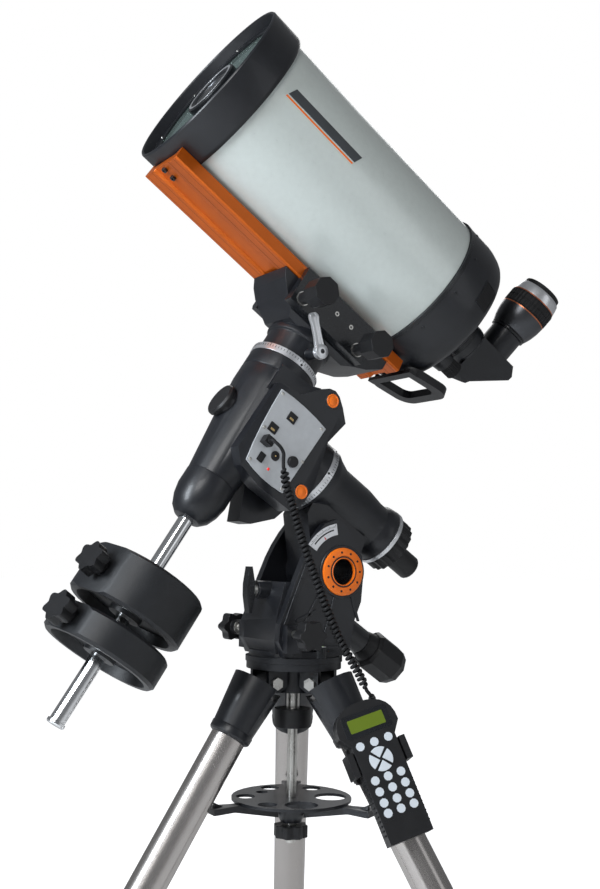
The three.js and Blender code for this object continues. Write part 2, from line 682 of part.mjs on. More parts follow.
function dovetailBar() {
  const section = outlineShape([
    [-48, BAR_BOTTOM], [-20, BAR_BOTTOM], [-17, BAR_BOTTOM + 4], [17, BAR_BOTTOM + 4], [20, BAR_BOTTOM],
    [48, BAR_BOTTOM], [BAR_HALF, BAR_BOTTOM + 2], [46.5, 228], [41, 226], [37, 219], [-37, 219], [-41, 226],
    [-46.5, 228], [-BAR_HALF, BAR_BOTTOM + 2],
  ]);
  return beam(section, -320, 142);
}

function frontRing() {
  const profile = [
    [RING_RADIUS, RING_FRONT + 2], [RING_RADIUS, RING_BACK - 8], [136, RING_BACK], [131.9, RING_BACK],
    [131.9, -310.7], [117.5, -310.7], [117.5, -315.4], [122.4, -315.4], [122.4, -321], [132, -322],
    [135.5, RING_FRONT], [138, RING_FRONT], [RING_RADIUS, RING_FRONT + 2],
  ];
  return turned(profile, 'x', LARGE, [0, 0, TUBE_AXIS]);
}

function secondaryHousing() {
  const profile = [
    [0, -333], [44, -333], [46, -331], [46, -320.9], [39.5, -320.9], [39.5, -315.3], [45, -315.3],
    [45, -286], [42, -286], [36, -318], [0, -318],
  ];
  return turned(profile, 'x', 28, [0, 0, TUBE_AXIS]);
}

function rearCell() {
  const profile = [
    [130, CELL_FRONT], [133, CELL_FRONT], [134.6, 106], [134.8, 149], [132.5, 164], [127.8, 179],
    [119, 188], [103.8, 196], [88, 204], [72, 211], [50, 219], [37, 222], [37, VISUAL_BACK],
    [24, VISUAL_BACK], [24, -150], [26.5, -150], [26.5, 212], [50, 210], [84, 197], [104, 185], [118, 174],
    [126, 160], [130, 148], [130, CELL_FRONT],
  ];
  const bore = cylinder(5.4, 180, 240, 'x', SMALL, [0, FOCUS_Y, FOCUS_Z]);
  return cut(turned(profile, 'x', LARGE, [0, 0, TUBE_AXIS]), bore);
}

function primaryMirror() {
  const profile = [[27.2, 122], [60, 118], [100, 114], [124, 111], [124, 138], [60, 146], [27.2, 148], [27.2, 122]];
  return turned(profile, 'x', LARGE, [0, 0, TUBE_AXIS]);
}

// A strap handle behind the rear cell, on the dovetail side.
function carryHandle() {
  const outer = roundedRectangle(152, -56, 240, 56, 26);
  const inner = roundedRectangle(140, -38, 222, 38, 14);
  const strap = cut(plate(outer, 0, 13, 5), plate(inner, -1, 14, 5));
  const trimmed = cut(strap, block([140, -60, -5], [170, -55, 20]), block([140, 55, -5], [170, 60, 20]));
  const ends = cut(trimmed, block([150, -37, -5], [180, 37, 20]));
  return join(ends, block([153, -54, 0], [166, 54, 6])).translate([-152, 0, 0]).rotate([0, -12, 0])
    .translate([156, 0, 216]);
}

function focusKnob() {
  return join(cylinder(14.5, 224, 246, 'x', ROUND), cylinder(5, 182, 225, 'x', SMALL));
}

// The eyepiece stands on the diagonal's upper port: distances are from the optical axis.
function diagonal() {
  const bodyShape = outlineShape([
    [VISUAL_BACK + 2, -32], [262, -46], [273, -53], [280, -50], [284, -43], [338, 4], [339, 12], [328, 26],
    [VISUAL_BACK + 2, 26],
  ]);
  const nose = annulus(36, 24, VISUAL_BACK + GAP, VISUAL_BACK + 4, 'x', 24);
  const port = cylinder(28.5, 25, 64, 'z', 24, [EYEPIECE_X, 0, 0]);
  const solidBody = join(slab(bodyShape, -30, 30), nose, port);
  const bore = cylinder(25.4, 0, 70, 'z', ROUND, [EYEPIECE_X, 0, 0]);
  const lightPath = cylinder(24, 245, EYEPIECE_X, 'x', ROUND);
  return cut(solidBody, bore, lightPath);
}

function eyepiece() {
  const profile = [
    [12, 40], [25, 40], [25, 64.4], [31.3, 64.4], [32.5, 70], [36.4, 80], [39.7, 95], [41, 110],
    [41, 125], [39.2, 136], [37.5, 145], [36, 150], [12, 150], [12, 40],
  ];
  return turned(profile, 'z', 24, [EYEPIECE_X, 0, 0]);
}

function eyecup() {
  return annulus(33, 20, 150.4, 158, 'z', 24, [EYEPIECE_X, 0, 0]);
}

function buildTube() {
  piece('dovetail_bar', dovetailBar(), ORANGE, polar);
  const tube = annulus(TUBE_RADIUS, TUBE_RADIUS - TUBE_WALL, -310.4, CELL_FRONT - GAP, 'x', LARGE, [0, 0, TUBE_AXIS]);
  piece('optical_tube', tube, TUBE_PAINT, polar);
  piece('front_ring', frontRing(), BLACK_PAINT, polar);
  piece('corrector_plate', annulus(122, 40, -320.6, -315.7, 'x', LARGE, [0, 0, TUBE_AXIS]), GLASS, polar);
  piece('secondary_housing', secondaryHousing(), BLACK_PAINT, polar);
  piece('primary_mirror', primaryMirror(), MIRROR, polar);
  piece('rear_cell', rearCell(), BLACK_PAINT, polar);
  piece('carry_handle', carryHandle(), PLASTIC, polar);
  const focus = frame(polar, 0, FOCUS_Y, FOCUS_Z);
  piece('focus_knob', focusKnob(), RUBBER, focus);
  const rear = frame(polar, 0, 0, TUBE_AXIS);
  rear.rotation.x = EYEPIECE_TURN * DEGREE;
  piece('diagonal', diagonal(), BLACK_PAINT, rear);
  piece('eyepiece', eyepiece(), RUBBER, rear);
  piece('eyecup', eyecup(), RUBBER, rear);
}

// ---- handset -----------------------------------------------------------------------------------

// X runs across the keys, Y runs up the handset, Z stands out of its face.
function handsetFrame() {
  const leg = legFrame(LEGS[2][1]);
  const round = frame(leg, 0, 0, -HANDSET_DOWN);
  round.rotation.z = -HANDSET_TURN * DEGREE;
  const face = frame(round, 0, 0, 0);
  face.rotation.order = 'ZYX';
  const upright = new THREE.Matrix4().makeBasis(
    new THREE.Vector3(0, 1, 0), new THREE.Vector3(0, 0, 1), new THREE.Vector3(1, 0, 0),
  );
  face.quaternion.setFromRotationMatrix(upright);
  const skew = frame(face, 0, 0, 0);
  skew.rotation.z = -HANDSET_SKEW * DEGREE;
  return skew;
}

const CASE_BACK = 34;
const CASE_FACE = 60;

function handsetCase() {
  const shape = new THREE.Shape();
  shape.moveTo(-31, -93);
  shape.lineTo(31, -93);
  shape.lineTo(32, 40);
  shape.lineTo(44, 56);
  shape.quadraticCurveTo(46, 90, 10, 95);
  shape.lineTo(-10, 95);
  shape.quadraticCurveTo(-46, 90, -44, 56);
  shape.lineTo(-32, 40);
  const body = plate(shape, CASE_BACK, CASE_FACE, 6);
  const keyWell = plate(roundedRectangle(-29, -62, 29, 46, 4), CASE_FACE - 8, CASE_FACE + 1, 3);
  return cut(body, keyWell);
}

const KEY_ROWS = [-10, -25, -40, -54];
const KEY_COLUMNS = [-19, 0, 19];
const PAD_Y = 14;

function keypad() {
  const base = plate(roundedRectangle(-28.6, -61.6, 28.6, 45.6, 4), CASE_FACE - 6.8, CASE_FACE - 5.4, 3);
  const keys = [base];
  for (const x of KEY_COLUMNS) {
    for (const y of KEY_ROWS) {
      keys.push(cylinder(6, CASE_FACE - 6, CASE_FACE + 1.2, 'z', 10, [x, y, 0]));
    }
    keys.push(cylinder(6, CASE_FACE - 6, CASE_FACE + 1.2, 'z', 10, [x * 1.1, 38, 0]));
  }
  return join(...keys);
}

function directionKey(turn) {
  const shape = new THREE.Shape();
  shape.moveTo(2, -1.2);
  shape.absarc(0, 0, 16.5, -38 * DEGREE, 38 * DEGREE);
  shape.lineTo(2, 1.2);
  return plate(shape, CASE_FACE - 4.2, CASE_FACE + 1.6, 4).rotate([0, 0, turn]).translate([0, PAD_Y, 0]);
}

function handsetCradle() {
  const back = plate(roundedRectangle(-36, -6, 36, 44, 6), 27.5, CASE_BACK - GAP, 3);
  const lugs = [];
  for (const side of [-1, 1]) {
    const x = [side * 34.5, side * 43].sort((a, b) => a - b);
    lugs.push(block([x[0], 2, 28], [x[1], 34, CASE_FACE + 1]));
    lugs.push(block([Math.min(side * 20, side * 36), 0, 16], [Math.max(side * 20, side * 36), 30, 29]));
  }
  const clamp = block([-30, 0, 14], [30, 28, 29]);
  const strap = annulus(29.5, LEG_RADIUS + GAP, 0, 28, 'y', ROUND);
  const throat = cylinder(LEG_RADIUS + GAP, -60, 60, 'y', ROUND);
  return cut(join(back, ...lugs, clamp, strap), throat.rotate([0, 0, HANDSET_SKEW]));
}

function buildHandset() {
  const handset = handsetFrame();
  piece('handset_cradle', handsetCradle(), PLASTIC, handset);
  piece('handset_case', handsetCase(), PLASTIC, handset);
  piece('keypad', keypad(), KEYS, handset);
  ['right', 'up', 'left', 'down'].forEach((name, quarter) => {
    piece(`direction_key_${name}`, directionKey(quarter * 90), KEYS, handset);
  });
}

// ---- hand control cord -------------------------------------------------------------------------

const LEAD_RADIUS = 2.3;
const COIL_RADIUS = 6.6;

// The cord's plug stands in the panel's lowest socket; the route is in the base frame.
const LEAD_ROUTE = [
  [-95, -82.4, 307], [-95, -87, 306.5], [-90, -91, 302], [-84, -92, 296], [-79.5, -91, 289],
  [-78.5, -89.5, 282], [-78.2, -88.5, 272],
];
const COIL_ROUTE = [
  [-78.4, -88, 277], [-76.2, -89, 261], [-72.4, -90, 242], [-64.4, -91, 219], [-53.6, -93, 185],
  [-41.8, -96, 151], [-29, -100, 117], [-16.8, -105, 83], [-4.7, -110, 53], [6.6, -116, 27],
  [17.8, -122, 5.6], [28.7, -126, -13.4], [40, -128.5, -36],
];

function curveThrough(points) {
  return new THREE.CatmullRomCurve3(points.map((point) => new THREE.Vector3(...point)));
}

function tubeAlong(points, radius, sides, steps) {
  const section = new THREE.Shape();
  for (let i = 0; i < sides; i += 1) {
    const angle = (i / sides) * 2 * Math.PI;
    const point = [radius * Math.cos(angle), radius * Math.sin(angle)];
    if (i === 0) section.moveTo(...point);
    else section.lineTo(...point);
  }
  section.closePath();
  const options = { steps, bevelEnabled: false, extrudePath: curveThrough(points) };
  return solid(new THREE.ExtrudeGeometry(section, options));
}

function buildCord() {
  const plug = join(block([-7, -15, -6], [7, 0, 6]), cylinder(4, -17, -14, 'y', 10));
  const socket = frame(model, -94, -62 - 2.7 - GAP, 307);
  socket.rotation.y = LATITUDE * DEGREE;
  piece('cord_plug', plug.translate([0, 0.01, 0]), PLASTIC, socket);
  const lead = tubeAlong(LEAD_ROUTE, LEAD_RADIUS, 8, 12);
  piece('cord', join(lead, tubeAlong(COIL_ROUTE, COIL_RADIUS, 8, 16)), RUBBER);
}

// ---- assembly ----------------------------------------------------------------------------------

buildTripod();
buildBase();
buildRightAscension();
buildDeclinationHousing();
buildCounterweights();
buildSaddle();
buildTube();
buildHandset();
buildCord();

// The origin goes to the middle of the base of everything but the cord.
function standOnOrigin(group) {
  group.updateMatrixWorld(true);
  const box = new THREE.Box3();
  group.traverse((node) => {
    if (node.isMesh && !node.name.startsWith('cord')) {
      box.expandByObject(node, true);
    }
  });
  const middle = box.getCenter(new THREE.Vector3());
  group.position.set(-middle.x, -middle.y, -box.min.z);
  group.updateMatrixWorld(true);
}

const assembly = new THREE.Group();
assembly.add(model);
standOnOrigin(model);

export default assembly;
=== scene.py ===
import json
import math

import bmesh
import bpy
from mathutils import Matrix, Vector

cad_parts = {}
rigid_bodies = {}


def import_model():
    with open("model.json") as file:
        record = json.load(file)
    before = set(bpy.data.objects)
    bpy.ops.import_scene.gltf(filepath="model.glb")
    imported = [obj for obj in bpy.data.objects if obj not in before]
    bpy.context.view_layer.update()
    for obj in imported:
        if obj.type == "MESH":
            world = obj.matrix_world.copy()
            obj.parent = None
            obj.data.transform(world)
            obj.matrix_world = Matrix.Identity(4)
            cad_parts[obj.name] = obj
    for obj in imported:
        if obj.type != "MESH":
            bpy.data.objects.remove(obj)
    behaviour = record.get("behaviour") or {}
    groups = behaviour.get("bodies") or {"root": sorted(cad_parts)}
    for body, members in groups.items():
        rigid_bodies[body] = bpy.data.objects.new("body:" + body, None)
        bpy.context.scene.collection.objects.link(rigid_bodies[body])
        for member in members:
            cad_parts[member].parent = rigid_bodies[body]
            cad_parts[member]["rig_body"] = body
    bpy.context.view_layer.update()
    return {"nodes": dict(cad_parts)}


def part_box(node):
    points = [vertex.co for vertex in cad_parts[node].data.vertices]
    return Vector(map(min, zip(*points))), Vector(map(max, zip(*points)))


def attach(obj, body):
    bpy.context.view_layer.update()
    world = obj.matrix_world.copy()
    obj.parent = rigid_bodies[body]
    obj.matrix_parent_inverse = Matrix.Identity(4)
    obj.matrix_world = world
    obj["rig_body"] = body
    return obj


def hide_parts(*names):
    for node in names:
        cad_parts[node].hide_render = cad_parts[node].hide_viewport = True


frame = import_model()

# ---- frames: shapes are given in millimetres in one of these ------------------------------------

LATITUDE = 33.8  # tilt of the polar axis, degrees
LEG_SPLAY = 32
LEG_REACH = 38.1  # where a leg's centre line crosses the base plane
LEG_ANGLES = {"north": 178.1, "east": 58.1, "west": -61.9}
ROD_TOP = 0.008  # from the centre rod's top up to the mount's base plane, metres
PANEL_FACE = -64.7  # the control panel's face, along the polar frame's Y
CASE_FACE = 60  # the hand control's face, along its frame's Z
FORK_FACE = 55.8  # just inside the fork's outer faces, east and west
WEIGHT_KNOB_TURN = 198.8  # direction of the weights' lock knobs about their shaft
FLOOR = -680.2  # just under the feet
TUBE_RADIUS = 131.5

HEADING, PITCH, ROLL = 32.29, 5.55, 0.99  # the camera's, degrees
CAMERA_AT = (-883.4, -1404.9, 152.1)  # from the mount's base plane
FOCAL, IMAGE_HEIGHT = 1125.2, 889  # the lens, in the image's own units
SENSOR = 36

COIL_TURNS = 50
COIL_RADIUS = 6.7  # over the wire
WIRE_RADIUS = 2.55
POINTS_PER_TURN = 14
POINT_GAP = 0.8  # nearer points of the cord's path are dropped

T = Matrix.Translation


def R(degrees, axis):
    return Matrix.Rotation(math.radians(degrees), 4, axis)


rod_low, rod_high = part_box("centre_rod")
rod_middle = (rod_low + rod_high) / 2
BASE = T((rod_middle.x, rod_middle.y, rod_high.z + ROD_TOP)) @ Matrix.Scale(0.001, 4)
POLAR = BASE @ T((-85, 0, 339)) @ R(LATITUDE, "Y")
TUBE = POLAR @ T((0, 0, 360))
EYE = TUBE @ R(22, "X") @ T((294.5, 0, 0))
PIVOT = BASE @ T((44.4, 0, 127.4))
LEGS = {n: BASE @ R(a, "Z") @ T((LEG_REACH, 0, 0)) @ R(-LEG_SPLAY, "Y") for n, a in LEG_ANGLES.items()}
UPRIGHT = Matrix(((0, 0, 1, 0), (1, 0, 0, 0), (0, 1, 0, 0), (0, 0, 0, 1)))
HANDSET = LEGS["west"] @ T((0, 0, -181)) @ R(-47, "Z") @ UPRIGHT @ R(-5.5, "Z")


# ---- shapes: each is (vertices, faces) ---------------------------------------------------------

def turn(profile, axis="z", n=64, at=(0, 0, 0)):
    """A solid of revolution from [radius, distance along the axis] points."""
    closed = profile[0] == profile[-1]
    points = profile[:-1] if closed else profile
    verts, rings = [], []
    for r, h in points:
        first = len(verts)
        count = 1 if r < 1e-6 else n
        for i in range(count):
            a = 2 * math.pi * i / n
            p = (r * math.cos(a), r * math.sin(a), h)
            p = {"z": p, "x": (p[2], p[0], p[1]), "y": (p[1], p[2], p[0])}[axis]
            verts.append(Vector(p) + Vector(at))
        rings.append((first, count))
    faces = []
    pairs = list(zip(rings, rings[1:]))
    if closed:
        pairs.append((rings[-1], rings[0]))
    for (a, ca), (b, cb) in pairs:
        for i in range(n):
            j = (i + 1) % n
            if ca == 1 and cb == 1:
                continue
            if ca == 1:
                faces.append((a, b + i, b + j))
            elif cb == 1:
                faces.append((a + i, b, a + j))
            else:
                faces.append((a + i, b + i, b + j, a + j))
    return verts, faces


def rod(r, lo, hi, axis="z", n=32, at=(0, 0, 0)):
    return turn([(0, lo), (r, lo), (r, hi), (0, hi)], axis, n, at)


def ring(outer, inner, lo, hi, axis="z", n=64, at=(0, 0, 0)):
    return turn([(inner, lo), (outer, lo), (outer, hi), (inner, hi), (inner, lo)], axis, n, at)


def prism(outline, lo, hi, plane="xy"):
    """An outline in X-Y or X-Z, drawn out along the third axis."""
    n = len(outline)
    verts = [Vector((a, b, c) if plane == "xy" else (a, c, b)) for c in (lo, hi) for a, b in outline]
    faces = [tuple(range(n)), tuple(range(n, 2 * n))]
    faces += [(i, (i + 1) % n, n + (i + 1) % n, n + i) for i in range(n)]
    return verts, faces


def box(lo, hi):
    return prism([(lo[0], lo[1]), (hi[0], lo[1]), (hi[0], hi[1]), (lo[0], hi[1])], lo[2], hi[2])


def rounded(x0, y0, x1, y1, r, n=6):
    out = []
    for cx, cy, a0 in ((x1 - r, y0 + r, -90), (x1 - r, y1 - r, 0), (x0 + r, y1 - r, 90), (x0 + r, y0 + r, 180)):
        for i in range(n + 1):
            a = math.radians(a0 + 90 * i / n)
            out.append((cx + r * math.cos(a), cy + r * math.sin(a)))
    return out


def lobes(radius, dip, count, per=10):
    """A round outline with rounded lobes, for grips."""
    out = []
    for i in range(count * per):
        a = 2 * math.pi * i / (count * per)
        k = 0.5 - 0.5 * math.cos(count * a)
        out.append(((radius - dip * k) * math.cos(a), (radius - dip * k) * math.sin(a)))
    return out


def steps(lo, hi, n):
    return [lo + (hi - lo) * i / n for i in range(n + 1)]


def arc(radius, a0, a1, n=12):
    angles = [math.radians(a) for a in steps(a0, a1, n)]
    return [(radius * math.cos(a), radius * math.sin(a)) for a in angles]


def loft(sections):
    """Joins equal rings of points with side faces and caps."""
    n = len(sections[0])
    verts = [Vector(p) for s in sections for p in s]
    faces = [tuple(range(n)), tuple(range(len(verts) - n, len(verts)))]
    for k in range(len(sections) - 1):
        for i in range(n):
            j = (i + 1) % n
            faces.append((k * n + i, k * n + j, (k + 1) * n + j, (k + 1) * n + i))
    return verts, faces


def screw(radius, height):
    """A small pan-head screw standing on z = 0."""
    return turn([(0, -0.6), (radius, -0.6), (radius, height * 0.45), (radius * 0.8, height * 0.85),
                 (radius * 0.4, height), (radius * 0.35, height * 0.55), (0, height * 0.4)], "z", 16)


def put(shape, matrix):
    return [matrix @ v for v in shape[0]], shape[1]


def facing(at, direction):
    """A matrix at a point whose Z runs along the direction."""
    return T(at) @ Vector(direction).to_track_quat("Z", "Y").to_matrix().to_4x4()


def smooth(curve, per=8):
    """Points of a Catmull-Rom curve through the given ones."""
    p = [Vector(v) for v in curve]
    p = [2 * p[0] - p[1]] + p + [2 * p[-1] - p[-2]]
    out = []
    for i in range(1, len(p) - 2):
        for k in range(per):
            t = k / per
            a, b, c, d = p[i - 1], p[i], p[i + 1], p[i + 2]
            out.append(0.5 * ((2 * b) + (c - a) * t + (2 * a - 5 * b + 4 * c - d) * t * t
                              + (3 * b - a - 3 * c + d) * t ** 3))
    return out + [p[-2]]


def frames_along(points):
    """A turning frame (normal, binormal) at each point of a path, without twist."""
    ahead, behind = points[1:] + points[-1:], points[:1] + points[:-1]
    tangents = [(b - a).normalized() for a, b in zip(behind, ahead)]
    normal = tangents[0].orthogonal().normalized()
    out = []
    for t in tangents:
        normal = (normal - t * normal.dot(t)).normalized()
        out.append((normal.copy(), t.cross(normal)))
    return out


def sweep(points, radius, n=12):
    """A round tube along a path."""
    turns = [2 * math.pi * k / n for k in range(n)]
    return loft([[p + radius * (math.cos(w) * a + math.sin(w) * b) for w in turns]
                 for p, (a, b) in zip(points, frames_along(points))])


# ---- pieces ------------------------------------------------------------------------------------

def finish_mesh(name, mesh, look, body, bevel, angle=35):
    mesh.polygons.foreach_set("use_smooth", [True] * len(mesh.polygons))
    mesh.set_sharp_from_angle(angle=math.radians(angle))
    o = bpy.data.objects.new(name, mesh)
    bpy.context.scene.collection.objects.link(o)
    mesh.materials.append(look)
    if bevel:
        m = o.modifiers.new("edge", "BEVEL")
        m.width, m.segments, m.limit_method = bevel / 1000, 2, "ANGLE"
        m.angle_limit, m.harden_normals = math.radians(30), True
    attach(o, body)
    return o


def piece(name, shapes, place, look, body, bevel=0.0, angle=35, instead=None):
    """One object from a shape or a list of shapes in the place's millimetres."""
    bm = bmesh.new()
    for verts, faces in (shapes if isinstance(shapes, list) else [shapes]):
        made = [bm.verts.new(place @ v) for v in verts]
        for f in faces:
            bm.faces.new([made[i] for i in f])
    bmesh.ops.recalc_face_normals(bm, faces=bm.faces)
    mesh = bpy.data.meshes.new(name)
    bm.to_mesh(mesh)
    bm.free()
    o = finish_mesh(name, mesh, look, body, bevel, angle)
    if instead:
        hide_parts(instead)
    return o


def refine(node, look, bevel=0.8):
    """The CAD node's own shape with softened edges, in place of the node."""
    mesh = frame["nodes"][node].data.copy()
    mesh.materials.clear()
    bm = bmesh.new()
    bm.from_mesh(mesh)
    bmesh.ops.remove_doubles(bm, verts=bm.verts, dist=2e-6)
    bmesh.ops.dissolve_limit(bm, angle_limit=math.radians(1.5), verts=bm.verts, edges=bm.edges)
    bm.to_mesh(mesh)
    bm.free()
    o = finish_mesh(node + "_body", mesh, look, frame["nodes"][node]["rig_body"], bevel)
    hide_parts(node)
    return o


def paint(o, place, look, where):
    """Gives a second finish to the faces whose middle passes the test."""
    o.data.materials.append(look)
    slot, back = len(o.data.materials) - 1, place.inverted()
    for f in o.data.polygons:
        if where(*(back @ f.center)):
            f.material_index = slot


# ---- materials ---------------------------------------------------------------------------------

def material(name, color, rough, metal=0.0, vary=0.12, grain=900, bump=0.1, depth=0.0002, coat=0.0,
             rough_vary=0.08, stretch=(1, 1, 1), tilt=0, spec=0.5):
    """A finish with fine and broad noise in its colour, gloss and surface; grain is per metre."""
    m = bpy.data.materials.new(name)
    m.use_nodes = True
    nodes, links = m.node_tree.nodes, m.node_tree.links
    p = nodes["Principled BSDF"]
    p.inputs["Metallic"].default_value = metal
    p.inputs["Coat Weight"].default_value = coat
    p.inputs["Specular IOR Level"].default_value = spec
    coords, mapping = nodes.new("ShaderNodeTexCoord"), nodes.new("ShaderNodeMapping")
    links.new(coords.outputs["Object"], mapping.inputs["Vector"])
    mapping.inputs["Rotation"].default_value = (0, math.radians(tilt), 0)
    mapping.inputs["Scale"].default_value = stretch
    fine, broad = nodes.new("ShaderNodeTexNoise"), nodes.new("ShaderNodeTexNoise")
    for tex, scale, detail in ((fine, grain, 4), (broad, grain / 40, 3)):
        tex.inputs["Scale"].default_value = scale
        tex.inputs["Detail"].default_value = detail
        links.new(mapping.outputs["Vector"], tex.inputs["Vector"])
    ramp = nodes.new("ShaderNodeValToRGB")
    for e, k in zip(ramp.color_ramp.elements, (1 - vary, 1 + vary)):
        e.color = (*[min(1, c * k) for c in color], 1)
    ramp.color_ramp.elements[0].position, ramp.color_ramp.elements[1].position = 0.3, 0.7
    mix = nodes.new("ShaderNodeMath")
    mix.operation = "ADD"
    links.new(fine.outputs["Fac"], mix.inputs[0])
    links.new(broad.outputs["Fac"], mix.inputs[1])
    half = nodes.new("ShaderNodeMath")
    half.operation = "MULTIPLY"
    half.inputs[1].default_value = 0.5
    links.new(mix.outputs[0], half.inputs[0])
    links.new(half.outputs[0], ramp.inputs["Fac"])
    links.new(ramp.outputs["Color"], p.inputs["Base Color"])
    spread = nodes.new("ShaderNodeMapRange")
    spread.inputs["To Min"].default_value = max(0.02, rough - rough_vary)
    spread.inputs["To Max"].default_value = min(1, rough + rough_vary)
    links.new(half.outputs[0], spread.inputs["Value"])
    links.new(spread.outputs[0], p.inputs["Roughness"])
    if bump:
        b = nodes.new("ShaderNodeBump")
        b.inputs["Strength"].default_value = bump
        b.inputs["Distance"].default_value = depth
        links.new(fine.outputs["Fac"], b.inputs["Height"])
        links.new(b.outputs["Normal"], p.inputs["Normal"])
    return m


CAST = material("cast_black", (0.010, 0.011, 0.014), 0.36, vary=0.25, grain=1400, bump=0.2, coat=0.08)
SATIN = material("satin_black", (0.009, 0.010, 0.012), 0.28, vary=0.2, grain=1600, bump=0.08, coat=0.1,
                 spec=0.45)
MATT = material("matt_black", (0.012, 0.012, 0.013), 0.75, vary=0.2, grain=1500, bump=0.15)
PLASTIC = material("black_plastic", (0.010, 0.010, 0.011), 0.42, vary=0.2, grain=2500, bump=0.2, depth=0.0001,
                   spec=0.4)
RUBBER = material("black_rubber", (0.009, 0.009, 0.010), 0.60, vary=0.2, grain=1200, bump=0.15, spec=0.35)
WRINKLE = material("wrinkle_black", (0.013, 0.014, 0.016), 0.42, vary=0.3, grain=1100, bump=0.5, depth=0.0004,
                   spec=0.45)
PEARL = material("tube_enamel", (0.58, 0.63, 0.605), 0.30, 0.12, vary=0.04, grain=5000, bump=0.03, depth=0.0001,
                 coat=0.3)
STRIPE = material("stripe_enamel", (0.05, 0.055, 0.06), 0.3, vary=0.1, grain=2500, bump=0.02)
# dark orange painted as the shade in the dovetail bar's grooves
GROOVE_SHADE_ORANGE = material("groove_shadow", (0.30, 0.055, 0.004), 0.5, 0.3, vary=0.08)
ORANGE = material("orange_anodised", (0.62, 0.12, 0.006), 0.34, 0.55, vary=0.06, grain=1500, bump=0.08,
                  stretch=(0.05, 1, 1), tilt=-LATITUDE)
ORANGE_CAP = material("orange_plastic", (0.95, 0.19, 0.008), 0.38, vary=0.04, grain=1500, bump=0.05)
SILVER = material("satin_aluminium", (0.74, 0.75, 0.77), 0.30, 0.85, vary=0.06, grain=1500, bump=0.06)
PANEL = material("panel_enamel", (0.52, 0.54, 0.56), 0.42, 0.25, vary=0.08, grain=4000, bump=0.1, depth=0.0001)
CHROME = material("polished_chrome", (0.80, 0.81, 0.82), 0.13, 1.0, vary=0.03, grain=1500, bump=0.02,
                  rough_vary=0.04)
ZINC = material("zinc_screws", (0.62, 0.61, 0.58), 0.28, 0.95, vary=0.1, grain=2500, bump=0.1)
BRASS = material("turned_brass", (0.70, 0.50, 0.22), 0.28, 1.0, vary=0.08, grain=1500, bump=0.05)
KEY = material("key_rubber", (0.62, 0.66, 0.70), 0.55, vary=0.05, grain=2500, bump=0.1)
RED = material("red_marking", (0.60, 0.02, 0.01), 0.4, vary=0.05)
COPPER = material("copper_line", (0.50, 0.15, 0.06), 0.3, 0.6, vary=0.08)
GREY_METAL = material("grey_barrel", (0.085, 0.088, 0.095), 0.30, 0.85, vary=0.08, grain=1500, bump=0.05)
MIRROR = material("mirror_coating", (0.90, 0.91, 0.92), 0.03, 1.0, vary=0.01, bump=0, rough_vary=0.01)
STEEL = {n: material("steel_" + n, (0.50, 0.47, 0.45), 0.25, 0.95, vary=0.06, grain=900, bump=0.12,
                     stretch=(1, 1, 0.03)) for n in LEG_ANGLES}


def glass(name, tint, alpha=0.12):
    m = bpy.data.materials.new(name)
    m.use_nodes = True
    p = m.node_tree.nodes["Principled BSDF"]
    p.inputs["Base Color"].default_value = (*tint, 1)
    p.inputs["Roughness"].default_value = 0.02
    p.inputs["Alpha"].default_value = alpha
    p.inputs["IOR"].default_value = 1.45
    return m


def glow(name, color, strength):
    m = material(name, color, 0.3, vary=0.04, grain=600, bump=0)
    p = m.node_tree.nodes["Principled BSDF"]
    p.inputs["Emission Color"].default_value = (*color, 1)
    p.inputs["Emission Strength"].default_value = strength
    return m


# the level's vial is no lamp: its faint emission is painted light
GLOWING_VIAL = glow("level_fluid_painted_glow", (0.35, 0.55, 0.04), 0.1)
GLASS = glass("corrector_glass", (0.55, 0.70, 0.66), 0.16)
LENS = glass("lens_glass", (0.08, 0.05, 0.12), 0.75)
SCREEN = glow("display", (0.11, 0.16, 0.01), 0.10)
LAMP = glow("red_lamp", (0.7, 0.02, 0.01), 0.6)


# ---- camera ------------------------------------------------------------------------------------

def make_camera():
    heading, pitch, roll = math.radians(HEADING), math.radians(PITCH), math.radians(ROLL)
    level = math.cos(pitch)
    forward = Vector((math.sin(heading) * level, math.cos(heading) * level, math.sin(pitch)))
    right = Vector((math.cos(heading), -math.sin(heading), 0))
    up = right.cross(forward)
    right, up = right * math.cos(roll) + up * math.sin(roll), up * math.cos(roll) - right * math.sin(roll)
    data = bpy.data.cameras.new("camera")
    data.sensor_width, data.lens = SENSOR, SENSOR * FOCAL / IMAGE_HEIGHT
    data.clip_start, data.clip_end = 0.05, 100
    cam = bpy.data.objects.new("camera", data)
    bpy.context.scene.collection.objects.link(cam)
    m = Matrix.Identity(4)
    for i, v in enumerate((right, up, -forward)):
        m.col[i][:3] = v
    m.col[3][:3] = BASE @ Vector(CAMERA_AT)
    cam.matrix_world = m
    bpy.context.scene.camera = cam


make_camera()


# ---- hand control cord -------------------------------------------------------------------------

